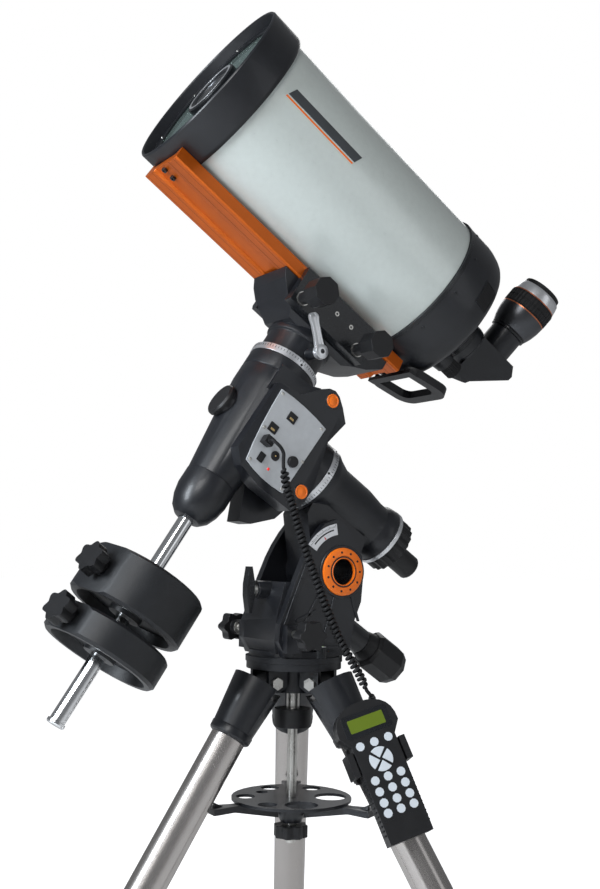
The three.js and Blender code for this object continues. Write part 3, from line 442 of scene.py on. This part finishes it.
def make_cord():
    """A short lead from the panel, a coil that hangs to the hand control, and its strain relief."""
    lead = [(-95, -82.4, 307), (-95, -87, 306.5), (-90, -91, 302), (-84, -92, 296), (-79.5, -91, 289),
            (-78.5, -89.5, 282), (-78.2, -88.5, 272)]
    coil = [(-78.4, -88, 277), (-76.2, -89, 261), (-72.4, -90, 242), (-64.4, -91, 219), (-53.6, -93, 185),
            (-41.8, -96, 151), (-29, -100, 117), (-16.8, -105, 83), (-4.7, -110, 53), (6.6, -116, 27),
            (17.8, -122, 5.6), (28.7, -126, -13.4), (40, -128.5, -36)]
    spine = smooth(coil, 60)
    frames = frames_along(spine)
    along = [0.0]
    for a, b in zip(spine, spine[1:]):
        along.append(along[-1] + (b - a).length)
    winding, k = [], 0
    for s in range(COIL_TURNS * POINTS_PER_TURN + 1):
        u = s / (COIL_TURNS * POINTS_PER_TURN)
        at = 5 + (along[-1] - 8) * u
        while k < len(along) - 2 and along[k + 1] < at:
            k += 1
        centre = spine[k].lerp(spine[k + 1], (at - along[k]) / (along[k + 1] - along[k]))
        a, b = frames[k]
        grown = min(1.0, u * COIL_TURNS / 2, (1 - u) * COIL_TURNS / 2)
        r = (COIL_RADIUS - WIRE_RADIUS) * grown * grown * (3 - 2 * grown)
        w = 2 * math.pi * COIL_TURNS * u
        winding.append(centre + r * (math.cos(w) * a + math.sin(w) * b))
    out = [(45.5, -128.2, -40), (49.6, -126, -43), (52, -122.8, -45.4)]
    start = smooth(lead[:-1], 8)
    whole = [start[0]]
    for p in start + winding + smooth([tuple(winding[-1])] + out, 6):
        if (p - whole[-1]).length > POINT_GAP:
            whole.append(p)
    cord = piece("curly_cord", sweep(whole, WIRE_RADIUS, 8), BASE, RUBBER, "tripod", instead="cord", angle=80)
    relief = facing(out[2], Vector(out[1]) - Vector(out[2]))
    profile = [(0, -2), (5.4, -2), (5.2, 1), (4.4, 1.4), (4.2, 5), (3.6, 5.4), (3.4, 9), (0, 9)]
    piece("cord_relief", turn(profile, "z", 24), BASE @ relief, PLASTIC, "handset")


make_cord()


# ---- stage and light ---------------------------------------------------------------------------

def make_stage():
    floor = piece("floor", box((-30000, -30000, FLOOR - 80), (30000, 30000, FLOOR)), BASE, MATT, "tripod")
    floor.parent = None
    floor.matrix_world = Matrix.Identity(4)
    del floor["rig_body"]
    m = bpy.data.materials.new("pale_floor")
    m.use_nodes = True
    p = m.node_tree.nodes["Principled BSDF"]
    p.inputs["Base Color"].default_value = (0.86, 0.86, 0.86, 1)
    p.inputs["Roughness"].default_value = 0.9
    p.inputs["Emission Color"].default_value = (1, 1, 1, 1)
    nodes, links = m.node_tree.nodes, m.node_tree.links
    seen, gain = nodes.new("ShaderNodeLightPath"), nodes.new("ShaderNodeMapRange")
    gain.inputs["To Min"].default_value, gain.inputs["To Max"].default_value = 0.10, 0.85
    links.new(seen.outputs["Is Camera Ray"], gain.inputs["Value"])
    links.new(gain.outputs[0], p.inputs["Emission Strength"])
    floor.data.materials[0] = m
    world = bpy.data.worlds.new("studio")
    world.use_nodes = True
    bpy.context.scene.world = world
    nodes, links = world.node_tree.nodes, world.node_tree.links
    seen, light = nodes["Background"], nodes.new("ShaderNodeBackground")
    seen.inputs["Color"].default_value = (1, 1, 1, 1)
    light.inputs["Color"].default_value = (0.93, 0.96, 1, 1)
    light.inputs["Strength"].default_value = 0.20
    rays, mix = nodes.new("ShaderNodeLightPath"), nodes.new("ShaderNodeMixShader")
    links.new(rays.outputs["Is Camera Ray"], mix.inputs["Fac"])
    links.new(light.outputs[0], mix.inputs[1])
    links.new(seen.outputs[0], mix.inputs[2])
    links.new(mix.outputs[0], nodes["World Output"].inputs["Surface"])


def area(name, at, aim, size, power, color=(1, 1, 1)):
    data = bpy.data.lights.new(name, "AREA")
    data.shape, data.size, data.size_y, data.energy, data.color = "RECTANGLE", size[0], size[1], power, color
    o = bpy.data.objects.new(name, data)
    bpy.context.scene.collection.objects.link(o)
    o.location = at
    o.rotation_euler = (Vector(aim) - Vector(at)).to_track_quat("-Z", "Y").to_euler()


def make_lights():
    area("key", (-2.0, -1.9, 2.6), (0, 0, 1.0), (1.1, 1.1), 32)
    area("fill", (1.4, -2.8, 1.4), (0, 0, 0.9), (1.2, 1.8), 5, (0.95, 0.97, 1))
    area("rim", (1.8, 2.2, 2.6), (0, 0, 1.0), (1.6, 1.6), 16)
    area("strip", (-2.5, -0.35, 1.75), (0, 0, 0.9), (0.7, 1.5), 70, (0.86, 0.93, 1))
    bpy.context.scene.view_settings.view_transform = "Standard"


make_stage()
make_lights()


# ---- optical tube ------------------------------------------------------------------------------

def make_tube():
    wall = [(TUBE_RADIUS, -310.2), (TUBE_RADIUS, 99.6), (130.3, 99.6), (130.3, -310.2),
            (TUBE_RADIUS, -310.2)]
    piece("tube_shell", turn(wall, "x", 160), TUBE, PEARL, "tube", instead="optical_tube")
    lining = [(130.2, -309), (130.2, 99), (129.9, 99), (129.9, -309), (130.2, -309)]
    piece("tube_lining", turn(lining, "x", 96), TUBE, MATT, "tube")
    front = [(139, -337.5), (139, -291), (138.2, -287), (136, -284), (132.1, -284), (132.1, -310.5),
             (117.5, -310.5), (117.5, -315.4), (122.4, -315.4), (122.4, -321), (131.5, -322), (134.5, -338.4),
             (136, -340), (137.6, -339.6), (139, -337.5)]
    piece("front_ring_body", turn(front, "x", 160), TUBE, CAST, "tube", bevel=0.5, instead="front_ring")
    retainer = [(131, -322.6), (131, -324.4), (118.5, -324.4), (117, -323.2), (117, -321.1), (122, -321.1),
                (131, -322.6)]
    piece("corrector_retainer", turn(retainer, "x", 128), TUBE, SATIN, "tube")
    screws = [put(screw(2.1, 1.2), facing((-324.4, 124.6 * math.cos(a), 124.6 * math.sin(a)), (-1, 0, 0)))
              for a in [2 * math.pi * (i + 0.5) / 8 for i in range(8)]]
    piece("corrector_screws", screws, TUBE, ZINC, "tube")
    plate = [(40.2, -320.6), (121.8, -320.6), (121.8, -315.8), (40.2, -315.8), (40.2, -320.6)]
    piece("corrector_glass_plate", turn(plate, "x", 128), TUBE, GLASS, "tube", instead="corrector_plate")
    mirror = [(27.4, -0.2), (60, -3.2), (100, -7.6), (123.6, -11), (123.6, 16), (60, 24), (27.4, 26),
              (27.4, -0.2)]
    piece("primary_mirror_body", turn([(r, 122.2 + h) for r, h in mirror], "x", 128), TUBE, MIRROR,
          "primary_mirror", instead="primary_mirror")
    housing = [(0, -327), (33, -327), (35, -329.5), (37.5, -331.4), (43.5, -332.8), (45.6, -331), (46, -328),
               (46, -320.9), (39.4, -320.9), (39.4, -315.2), (45, -315.2), (45, -286), (42.2, -286),
               (37, -318), (0, -318)]
    piece("secondary_holder", turn(housing, "x", 96), TUBE, SATIN, "tube", bevel=0.3,
          instead="secondary_housing")
    piece("secondary_trim", ring(42.6, 38.6, -333, -331.9, "x", 96), TUBE, SILVER, "tube", bevel=0.2)
    cover = [(0, -329.6), (24, -329.6), (24.6, -330.4), (26.4, -330.4), (27, -329.6), (31.5, -329.2),
             (32, -326.5), (0, -326.5)]
    piece("secondary_cover", turn(cover, "x", 72), TUBE, GREY_METAL, "tube")


make_tube()


CELL_OUTER = [(131.8, 100.2), (133, 100.6), (134.4, 103), (134.8, 107), (134.8, 149), (134, 157),
              (132.5, 164), (130.6, 172), (127.8, 179), (124, 184.2), (119, 188), (103.8, 196), (88, 204),
              (72, 211), (60, 215.5), (50, 219), (37, 222)]


def on_cell(x, angle, lift=0.0):
    """A point of the rear cell's skin in the tube's frame; the angle is up from the west."""
    for (r0, x0), (r1, x1) in zip(CELL_OUTER, CELL_OUTER[1:]):
        if x0 <= x <= x1:
            r = r0 + (r1 - r0) * (x - x0) / (x1 - x0) + lift
            break
    a = math.radians(angle)
    return x, -r * math.cos(a), r * math.sin(a)


def patch(point, us, vs, low, high):
    """A thin curved plate: point(u, v, lift) gives its skin."""
    verts = [Vector(point(u, v, lift)) for lift in (low, high) for u in us for v in vs]
    n, m = len(us), len(vs)
    at = lambda k, i, j: k * n * m + i * m + j
    faces = [[at(k, i, j), at(k, i + 1, j), at(k, i + 1, j + 1), at(k, i, j + 1)]
             for k in (0, 1) for i in range(n - 1) for j in range(m - 1)]
    for j in range(m - 1):
        for i in (0, n - 1):
            faces.append([at(0, i, j), at(0, i, j + 1), at(1, i, j + 1), at(1, i, j)])
    for i in range(n - 1):
        for j in (0, m - 1):
            faces.append([at(0, i, j), at(0, i + 1, j), at(1, i + 1, j), at(1, i, j)])
    return verts, faces


def make_rear_cell():
    outer = CELL_OUTER + [(37, 248.5), (36.2, 250.3), (35, 250.5), (24, 250.5), (24, -150), (26.4, -150),
                          (26.4, 212), (50, 210), (84, 197), (104, 185), (118, 174), (126, 160), (130, 148),
                          (130, 100.2), (131.8, 100.2)]
    piece("rear_cell_body", turn(outer, "x", 160), TUBE, CAST, "tube", bevel=0.5, instead="rear_cell")
    threads = [ring(37.5, 36.6, x, x + 1, "x", 64) for x in (224, 227, 230, 233, 236)]
    piece("rear_port_threads", threads, TUBE, SATIN, "tube")
    lip = [(135.4, 100.4), (135.4, 105.6), (134.6, 106.6), (134, 106.6), (134, 100.4), (135.4, 100.4)]
    piece("rear_cell_lip", turn(lip, "x", 160), TUBE, SATIN, "tube")
    for side, near in (("west", 0), ("east", 180)):
        def vent(us, vs, low, high):
            return patch(lambda u, v, lift: on_cell(u, near + v, lift), us, vs, low, high)
        rim = [vent(steps(lo, hi, 2), steps(-9, 9, 12), -0.5, 0.9) for lo, hi in ((151, 152.4), (178.4, 179.8))]
        rim += [vent(steps(152.4, 178.4, 10), [a0, a1], -0.5, 0.9) for a0, a1 in ((-9, -8.4), (8.4, 9))]
        piece("vent_rim_" + side, rim, TUBE, SATIN, "tube")
        back = vent(steps(152, 178.8, 10), steps(-8.6, 8.6, 10), -0.4, 0.12)
        piece("vent_back_" + side, back, TUBE, MATT, "tube")
        wires = [vent([u, u + 1.2], steps(-8.4, 8.4, 10), -0.3, 0.5) for u in steps(154, 177, 8)]
        wires += [vent(steps(152.4, 178.4, 10), [v, v + 0.4], -0.3, 0.4) for v in steps(-7.2, 7.2, 8)]
        piece("vent_mesh_" + side, wires, TUBE, PLASTIC, "tube")
    heads = []
    for a in steps(15, 345, 11):
        x, y, z = on_cell(117, a)
        heads.append(put(screw(2.6, 1.2), facing((x, y, z), (0, y, z))))
    piece("cell_screws", heads, TUBE, SATIN, "tube")
    knob = [prism(lobes(14.5, 0.9, 28, 6), 224.4, 245), rod(13.2, 244.8, 246, "z", 40),
            rod(5, 182, 225, "z", 20)]
    axis = POLAR @ T((0, -20, 296)) @ R(90, "Y")
    piece("focus_grip", knob, axis, RUBBER, "focus_knob", bevel=0.4, instead="focus_knob")
    collar = turn([(17, 223.4), (17, 221), (19, 205), (10, 205), (10, 223.4), (17, 223.4)], "z", 48)
    piece("focus_collar", collar, axis, CAST, "tube", bevel=0.4)


make_rear_cell()


def make_badge():
    """A plain two-part stripe on each side of the tube."""
    for side, near, flip in (("west", 0, 1), ("east", 180, -1)):
        def skin(u, v, w):
            a, r = math.radians(near + flip * v), TUBE_RADIUS + w
            return u + v * 0.9, -r * math.cos(a), r * math.sin(a)
        bar = patch(skin, steps(-262, -128, 24), steps(-2.2, 4.6, 8), -0.2, 0.25)
        line = patch(skin, steps(-262, -128, 24), steps(-4.4, -3.2, 2), -0.2, 0.25)
        piece("tube_stripe_" + side, bar, TUBE, STRIPE, "tube")
        piece("tube_line_" + side, line, TUBE, ORANGE_CAP, "tube")


make_badge()


def make_eyepiece():
    bands = (
        ("eyepiece_barrel", [(12, 40), (25, 40), (25, 64.4), (31.3, 64.4), (31.6, 66.6), (30.6, 67), (30.6, 68),
                             (32, 68.4), (32.3, 70), (12, 70), (12, 40)], SATIN),
        ("eyepiece_body", [(12, 70), (32.5, 70), (34.6, 75), (36.4, 80), (38.4, 88), (39.7, 95), (40.4, 104.8),
                           (12, 104.8), (12, 70)], GREY_METAL),
        ("eyepiece_line_1", [(30, 104.8), (40.6, 104.8), (40.7, 106.6), (30, 106.6), (30, 104.8)], COPPER),
        ("eyepiece_line_2", [(30, 131.6), (39.9, 131.6), (39.7, 133.4), (30, 133.4), (30, 131.6)], COPPER),
        ("eyepiece_band", [(12, 133.4), (39.5, 133.4), (39.2, 136), (37.5, 145), (36.4, 149), (35.6, 150),
                           (12, 150), (12, 133.4)], SILVER),
    )
    for name, profile, look in bands:
        piece(name, turn(profile, "z", 96), EYE, look, "eyepiece",
              instead="eyepiece" if name == "eyepiece_barrel" else None)
    ribs = [prism(lobes(r, 1.1, 36, 6), lo, hi) for r, lo, hi in (
        (40.7, 106.6, 108.4), (41.1, 109.2, 119.2), (41.1, 120, 129.6), (40.6, 130.2, 131.6))]
    core = turn([(12, 106.6), (39.4, 106.6), (39.4, 131.6), (12, 131.6), (12, 106.6)], "z", 96)
    piece("eyepiece_grip", ribs + [core], EYE, RUBBER, "eyepiece", bevel=0.2)
    cup = [(20, 150.4), (33, 150.4), (33.6, 152), (33.6, 153), (32.6, 153.6), (33.2, 155), (33, 157.2),
           (32, 158), (29.4, 158), (27, 155), (22, 152.6), (20, 150.4)]
    piece("eyecup_ring", turn(cup, "z", 96), EYE, RUBBER, "eyecup", instead="eyecup")
    lens = [(0, 150.9), (10, 150.4), (17, 148.6), (17, 146), (0, 146)]
    piece("eye_lens", turn(lens, "z", 48), EYE, LENS, "eyepiece")


make_eyepiece()


# ---- mount head --------------------------------------------------------------------------------

def make_panel():
    face = PANEL_FACE

    def fitting(profile, at, sides=48):
        """A round fitting on the panel; its heights are given outwards from the face."""
        x, z = at
        return turn([(r, face - h) for r, h in profile], "y", sides, (x, 0, z))

    jacks, openings, pins = [], [], []
    for x, z in ((26.6, 22.5), (10.1, -8.5)):
        jacks.append(prism(rounded(x - 7.5, z - 7, x + 7.5, z + 7, 1.2, 3), face - 1.1, face + 0.2, "xz"))
        opening = rounded(x - 5.4, z - 4.6, x + 5.4, z + 3.8, 0.4, 2)
        openings.append(prism(opening, face - 1.3, face + 0.1, "xz"))
        pins += [box((x + d - 0.35, face - 1.5, z - 4), (x + d + 0.35, face - 1.25, z - 1))
                 for d in (-3, -1.8, -0.6, 0.6, 1.8, 3)]
    piece("panel_jacks", jacks, POLAR, PLASTIC, "dec_housing", bevel=0.3)
    piece("panel_jack_openings", openings, POLAR, MATT, "dec_housing")
    piece("panel_jack_pins", pins, POLAR, BRASS, "dec_housing")
    cap = fitting([(0, 5.5), (6.6, 5.5), (7.8, 4.6), (8.2, 3), (8.2, -0.2), (0, -0.2)], (62.4, -28.5))
    piece("panel_round_cap", cap, POLAR, PLASTIC, "dec_housing", bevel=0.3)
    power = (35.3, -38.6)
    socket = [fitting([(3.6, 1.6), (6.4, 1.6), (7, 1), (7, -0.2), (3.6, -0.2), (3.6, 1.6)], power),
              fitting([(0, 0.3), (3.7, 0.3), (3.7, -0.1), (0, -0.1)], power, 32)]
    piece("panel_power_socket", socket, POLAR, PLASTIC, "dec_housing")
    pin = fitting([(0, 1.4), (1, 1.4), (1, 0), (0, 0)], power, 16)
    piece("panel_power_pin", pin, POLAR, BRASS, "dec_housing")
    rocker = [prism(rounded(13, -60.5, 23.2, -46.4, 1, 3), face - 1, face + 0.2, "xz"),
              prism(rounded(14.4, -59, 21.8, -47.9, 0.8, 3), face - 2.6, face, "xz")]
    piece("panel_switch", rocker, POLAR, PLASTIC, "dec_housing", bevel=0.4)
    lamp = fitting([(0, 1.6), (1.4, 1.3), (2, 0.5), (2, -0.2), (0, -0.2)], (36.7, -60.3), 24)
    piece("panel_lamp", lamp, POLAR, LAMP, "dec_housing")
    corners = ((-5, 41), (75, 40), (5.5, -66), (70, -70), (-2, -16), (76, -18))
    heads = [put(screw(2.4, 1.2), facing((x, face, z), (0, -1, 0))) for x, z in corners]
    piece("panel_screws", heads, POLAR, ZINC, "dec_housing")
    for name, x, z in (("upper", 68, 87), ("lower", 100, -53)):
        rim = [(9.6, -62.9), (11.6, -62.9), (12.2, -62.2), (12.2, -61.6), (9.6, -61.6), (9.6, -62.9)]
        plug = [(0, -63.6), (6, -63.6), (6.6, -63.2), (8, -63.2), (8.6, -63.8), (9.8, -63.6), (10.4, -62.6),
                (10.4, -61.6), (0, -61.6)]
        piece("hole_rim_" + name, turn(rim, "y", 48, (x, 0, z)), POLAR, SATIN, "dec_housing")
        piece("hole_plug_" + name, turn(plug, "y", 48, (x, 0, z)), POLAR, ORANGE_CAP, "dec_housing")


def ring_ticks(radius, lo, count=72):
    """Graduations round a setting ring, every sixth one longer."""
    bars = []
    for i in range(count):
        length = 5.4 if i % 6 == 0 else 3.2
        bar = box((radius - 0.3, -0.3, lo), (radius + 0.12, 0.3, lo + length))
        bars.append(put(bar, R(360 * i / count, "Z")))
    return bars


def make_setting_rings():
    piece("dec_ring_ticks", ring_ticks(54, 102.6), POLAR, MATT, "dec_setting_ring")
    piece("ra_ring_ticks", [put(b, R(90, "Y")) for b in ring_ticks(55, 129)], POLAR, MATT, "ra_setting_ring")
    hole = rod(1.9, 53.4, 54.15, "z", 20)
    piece("dec_ring_screws", [put(hole, T((0, 0, 100)) @ R(a, "Z") @ R(90, "Y")) for a in (-90, 30, 150)],
          POLAR, MATT, "dec_setting_ring")
    hole = rod(1.9, 54.4, 55.15, "z", 20)
    piece("ra_ring_screws", [put(hole, T((126.4, 0, 0)) @ R(a, "X")) for a in (90, -18, 210)],
          POLAR, MATT, "ra_setting_ring")
    piece("ra_end_ring", ring(46.4, 44.2, 281.5, 287.9, "x", 96), POLAR, SILVER, "ra_housing", bevel=0.3)


def make_pivot():
    sleeve = [(19.4, -61), (22, -61), (22, 61), (19.4, 61), (19.4, -61)]
    piece("pivot_sleeve", turn(sleeve, "y", 64), PIVOT, SATIN, "mount_base", instead="latitude_pivot")
    cap = [(19, 61.5), (19.8, 61.5), (21.4, 59.6), (22.4, 59.6), (23, 61.2), (32.4, 61.2), (34.2, 60),
           (34.5, 58), (34.5, 56.3), (19, 56.3), (19, 61.5)]
    for name, side in (("west", -1), ("east", 1)):
        piece("pivot_cap_" + name, turn([(r, side * y) for r, y in cap], "y", 96), PIVOT, ORANGE_CAP,
              "mount_base")
        y0, y1 = sorted((side * 61, side * 61.45))
        # matt black dots on the orange caps, painted as the shade inside their holes
        around = [2 * math.pi * i / 11 for i in range(11)]
        hole_shade_dots = [rod(1.7, y0, y1, "y", 14, (28 * math.cos(a), 0, 28 * math.sin(a))) for a in around]
        piece("pivot_hole_shade_" + name, hole_shade_dots, PIVOT, MATT, "mount_base")


def make_latitude_plate():
    plate = arc(70, 99, 147, 24) + arc(53.5, 147, 99, 24)
    slot = arc(62.6, 105, 141, 20) + arc(60.6, 141, 105, 20)
    piece("latitude_plate", prism(plate, -57.3, -FORK_FACE, "xz"), PIVOT, SILVER, "mount_base", bevel=0.3)
    piece("latitude_slot", prism(slot, -57.5, -57.2, "xz"), PIVOT, MATT, "mount_base")
    marks = []
    for i, a in enumerate(steps(101, 145, 22)):
        end = 68.8 if i % 5 == 0 else 67
        mark = prism([(64.5, -0.25), (end, -0.25), (end, 0.25), (64.5, 0.25)], -57.45, -57.2, "xz")
        marks.append(put(mark, R(-a, "Y")))
    piece("latitude_marks", marks, PIVOT, MATT, "mount_base")
    pointer = prism([(54.6, -1), (60, 0), (54.6, 1)], -57.6, -57.2, "xz")
    piece("latitude_pointer", put(pointer, R(-123, "Y")), PIVOT, RED, "mount_base")


def make_bar_details():
    head = [(0, 208.4), (1.9, 208.4), (1.9, 206.2), (4.2, 206.2), (4.2, 210.1), (0, 210.1)]
    heads = [turn(head, "z", 32, (x, 0, 0)) for x in (-312, -296)]
    piece("bar_stop_screws", heads, POLAR, SATIN, "tube", bevel=0.2)
    # dark orange strips along the bar's grooves: painted shade, not a colour of the bar
    grooves = [box((-319.6, y - 0.4, 205.9), (141.6, y + 0.4, 206.3)) for y in (-42, -27, 27, 42)]
    piece("bar_groove_shade", grooves, POLAR, GROOVE_SHADE_ORANGE, "tube")
    washers = [rod(10.5, -65.4, -64.2, "y", 32, (x, 0, 175)) for x in (-57.5, 57.5)]
    piece("saddle_washers", washers, POLAR, ZINC, "saddle_jaw")
    socket = turn([(0, -0.6), (3.6, -0.6), (3.6, 0.8), (1.8, 0.8), (1.8, -0.2), (0, -0.2)], "z", 24)
    sockets = [put(socket, facing((x, -64.05, 196), (0, -1, 0))) for x in (-30, 0, 30)]
    piece("jaw_screws", sockets, POLAR, ZINC, "saddle_jaw")


def make_lever(name, length, place):
    """A cast lever: a round hub with a dark screw, and a slim arm with a channel down its face."""
    hub = [(0, -8.6), (3.4, -8.6), (3.4, -9.8), (8, -9.8), (10.4, -8.6), (11, -6.6), (11, -0.6), (10.2, 0),
           (0, 0)]
    sections = []
    for z in (4, 8, 12, 17, 24, 32, 40, length - 12, length - 8, length - 4, length - 1.4, length):
        w = 6.4 + 2.0 * max(0, 1 - z / 22) + 1.6 * max(0, 1 - abs(z - length + 7) / 9)
        w *= 0.62 if z >= length else 0.9 if z > length - 2 else 1
        sag = 0.48 * math.sin(math.pi * min(1, z / length))
        h = 5.2 if z > length - 2 else 6.6
        section = [(-w, 1), (-w * 0.8, 0), (w * 0.8, 0), (w, 1), (w, h - 1), (w * 0.8, h),
                   (w * 0.45, h - 0.2), (w * 0.3, h - 1.2), (-w * 0.3, h - 1.2), (-w * 0.45, h - 0.2),
                   (-w * 0.8, h), (-w, h - 1)]
        sections.append([(x, -0.2 - y - sag, z) for x, y in section])
    bolt = [(0, -9.2), (1.6, -9.2), (1.6, -10.2), (3.2, -10.2), (3.6, -9.6), (3.6, -8), (0, -8)]
    piece(name + "_hub", turn(hub, "y", 48), place, SILVER, name, bevel=0.3, instead=name)
    piece(name + "_arm", loft(sections), place, SILVER, name, bevel=0.3)
    piece(name + "_screw", turn(bolt, "y", 24), place, SATIN, name)


def make_fork_ribs():
    """Raised borders and ribs on both faces of the fork, and a step round the pivot."""
    edge = [(-50, 18), (-55, 32), (-53.5, 53), (-37, 94), (-27, 118), (-18, 140)]
    ribs = [[a, b, (b[0] + 5.5, b[1] - 1.6), (a[0] + 5.5, a[1] - 1.6)] for a, b in zip(edge, edge[1:])]
    ribs += [[(-40, 22), (-36, 22), (16, 108), (12, 110)], [(76, 56), (71, 56), (58, 96), (62, 98)],
             [(8, 20), (12, 20), (34, 90), (30, 92)], [(-50, 18), (52, 18), (52, 22), (-50, 22)],
             [(-34, 60), (-32, 56), (2, 70), (0, 74)]]
    step = [(38.5, FORK_FACE), (38.5, 57), (37.4, 58), (34.8, 58), (34.8, FORK_FACE), (38.5, FORK_FACE)]
    for name, side in (("west", -1), ("east", 1)):
        y0, y1 = sorted((side * FORK_FACE, side * 57.6))
        piece("fork_ribs_" + name, [prism(r, y0, y1, "xz") for r in ribs], BASE, CAST, "mount_base", bevel=0.7)
        piece("pivot_boss_" + name, turn([(r, side * y) for r, y in step], "y", 96), PIVOT, CAST,
              "mount_base", bevel=0.2)


make_lever("dec_clutch_lever", 57, POLAR @ T((5, -71, 125.5)) @ R(-48, "Y"))
make_lever("ra_clutch_lever", 52, POLAR @ T((154, 61.8, -4)))
make_fork_ribs()
make_panel()
make_setting_rings()
make_pivot()
make_latitude_plate()
make_bar_details()


# ---- handset and small fittings ----------------------------------------------------------------

def make_handset():
    bezel = prism(rounded(-34, 50, 34, 82, 5), CASE_FACE - 0.2, CASE_FACE + 0.5)
    piece("handset_bezel", bezel, HANDSET, SATIN, "handset", bevel=0.3)
    display = prism(rounded(-26, 57, 26, 75, 1.5), CASE_FACE + 0.3, CASE_FACE + 0.75)
    piece("handset_display", display, HANDSET, SCREEN, "handset")
    surround = prism(rounded(-30.5, -63.5, 30.5, 47.5, 5), CASE_FACE - 0.4, CASE_FACE + 0.2)
    piece("key_surround", surround, HANDSET, PLASTIC, "handset")
    grips = [box((side * 32 - 1, y, 42), (side * 32 + 1, y + 2.2, 56))
             for side in (-1, 1) for y in steps(-80, 20, 16)]
    piece("handset_grips", grips, HANDSET, RUBBER, "handset", bevel=0.4)


def make_leg_details():
    for name, leg in LEGS.items():
        rims = [turn([(29.6, z), (31.3, z + 0.4), (31.3, z + 3), (29.6, z + 3.4), (29.6, z)], "z", 64)
                for z in (-604.5, -644.5)]
        piece("clamp_rims_" + name, rims, leg, PLASTIC, "leg_" + name)
        knob = [prism(lobes(9.5, 1.4, 8, 6), 38, 50), rod(3.6, 26, 38, "z", 20), rod(6, 37, 38.6, "z", 24)]
        piece("clamp_thumbscrew_" + name, knob, leg @ T((0, 0, -622)) @ R(-90, "Y"), PLASTIC, "leg_" + name,
              bevel=0.6)
        band = [(29.5, -122.6), (30.8, -121), (31.4, -112), (30.6, -110.4), (29.5, -110.4), (29.5, -122.6)]
        piece("sleeve_band_" + name, turn(band, "z", 64), leg, CAST, "leg_" + name)
        rib = [(26.2, 0), (26.7, 0.8), (26.7, 2.2), (26.2, 3), (25.6, 3), (25.6, 0), (26.2, 0)]
        ribs = [turn([(r, z + h) for r, h in rib], "z", 48) for z in (-768, -774, -780)]
        piece("foot_ribs_" + name, ribs, leg, RUBBER, "leg_extension_" + name)


def make_level():
    at = (5, -62, 0)
    cup = [(0, 6), (9, 6), (9, 21), (8, 22), (7, 22), (7, 20.6), (0, 20.6)]
    piece("level_cup", turn(cup, "z", 40, at), BASE, SATIN, "mount_base", bevel=0.2)
    piece("level_ring", ring(8.4, 6.8, 21.4, 22.4, "z", 40, at), BASE, SILVER, "mount_base")
    # the vial glows faintly: painted light, not a lamp
    vial = [(0, 22.2), (4, 22), (6.9, 21), (6.9, 20.4), (0, 20.4)]
    piece("level_vial", turn(vial, "z", 32, at), BASE, GLOWING_VIAL, "mount_base")


make_handset()
make_leg_details()
make_level()


# ---- pieces whose CAD shape stays --------------------------------------------------------------

parts = {}
for look, nodes in (
        (CAST, {"saddle": 1.2, "dec_housing": 1.2, "ra_housing": 1.2, "mount_base": 1.2, "tripod_head": 0.8,
                "tray": 0.6, "dec_shaft": 0.6, "diagonal": 1.0}),
        (SATIN, {"saddle_jaw": 1.0, "latitude_t_bolt": 1.0}),
        (PLASTIC, {"polar_end_cap": 0.6, "tray_knob": 0.8, "azimuth_knob_east": 1.2, "azimuth_knob_west": 1.2,
                   "latitude_adjuster": 1.5, "counterweight_knob_large": 1.2, "counterweight_knob_small": 1.2,
                   "saddle_knob_front": 1.5, "saddle_knob_rear": 1.5, "carry_handle": 2.0,
                   "handset_cradle": 1.0, "handset_case": 2.0, "cord_plug": 0.4}),
        (KEY, {"keypad": 0.5, "direction_key_up": 0.5, "direction_key_down": 0.5, "direction_key_left": 0.5,
               "direction_key_right": 0.5}),
        (WRINKLE, {"counterweight_large": 1.5, "counterweight_small": 1.5}),
        (SILVER, {"dec_setting_ring": 0.4, "ra_setting_ring": 0.4}),
        (ZINC, {"centre_rod": 0.5, "ra_shaft": 0.4, "ra_worm": 0.3, "dec_worm": 0.3}),
        (BRASS, {"ra_worm_wheel": 0.4, "dec_worm_wheel": 0.4}),
        (ORANGE, {"dovetail_bar": 0.6}), (PANEL, {"control_panel": 0.4}),
        (CHROME, {"counterweight_shaft": 0.4})):
    for node, bevel in nodes.items():
        parts[node] = refine(node, look, bevel)

for leg, angle in LEG_ANGLES.items():
    upper = refine("leg_" + leg, STEEL[leg])
    paint(upper, LEGS[leg], CAST, lambda x, y, z: z > -124.5 or z < -596.5 or math.hypot(x, y) < 24)
    lower = refine("leg_extension_" + leg, STEEL[leg])
    paint(lower, LEGS[leg], RUBBER, lambda x, y, z: z < -750.5)
    paint(parts["tripod_head"], BASE @ R(angle, "Z"), ZINC,
          lambda x, y, z: abs(y) > 28.2 and 34 < x < 54 and -41 < z < -21)

paint(parts["centre_rod"], BASE, PLASTIC, lambda x, y, z: -96.5 < z < -69.5)
paint(parts["latitude_t_bolt"], BASE @ T((0, 0, 100)), ZINC,
      lambda x, y, z: x > -72.5 and math.hypot(y, z) < 10)
for side in ("east", "west"):
    paint(parts["azimuth_knob_" + side], BASE @ T((-42, 0, 41)), ZINC,
          lambda x, y, z: abs(y) < 86 and math.hypot(x, z) < 6)
for weight, middle in (("large", -299.5), ("small", -374)):
    paint(parts["counterweight_knob_" + weight], POLAR @ T((0, 0, middle)) @ R(WEIGHT_KNOB_TURN, "Z"), ZINC,
          lambda x, y, z: x < 80 and math.hypot(y, z) < 6)
paint(parts["dec_housing"], POLAR, PLASTIC, lambda x, y, z: x < -49.5 and math.hypot(y, z) < 26)
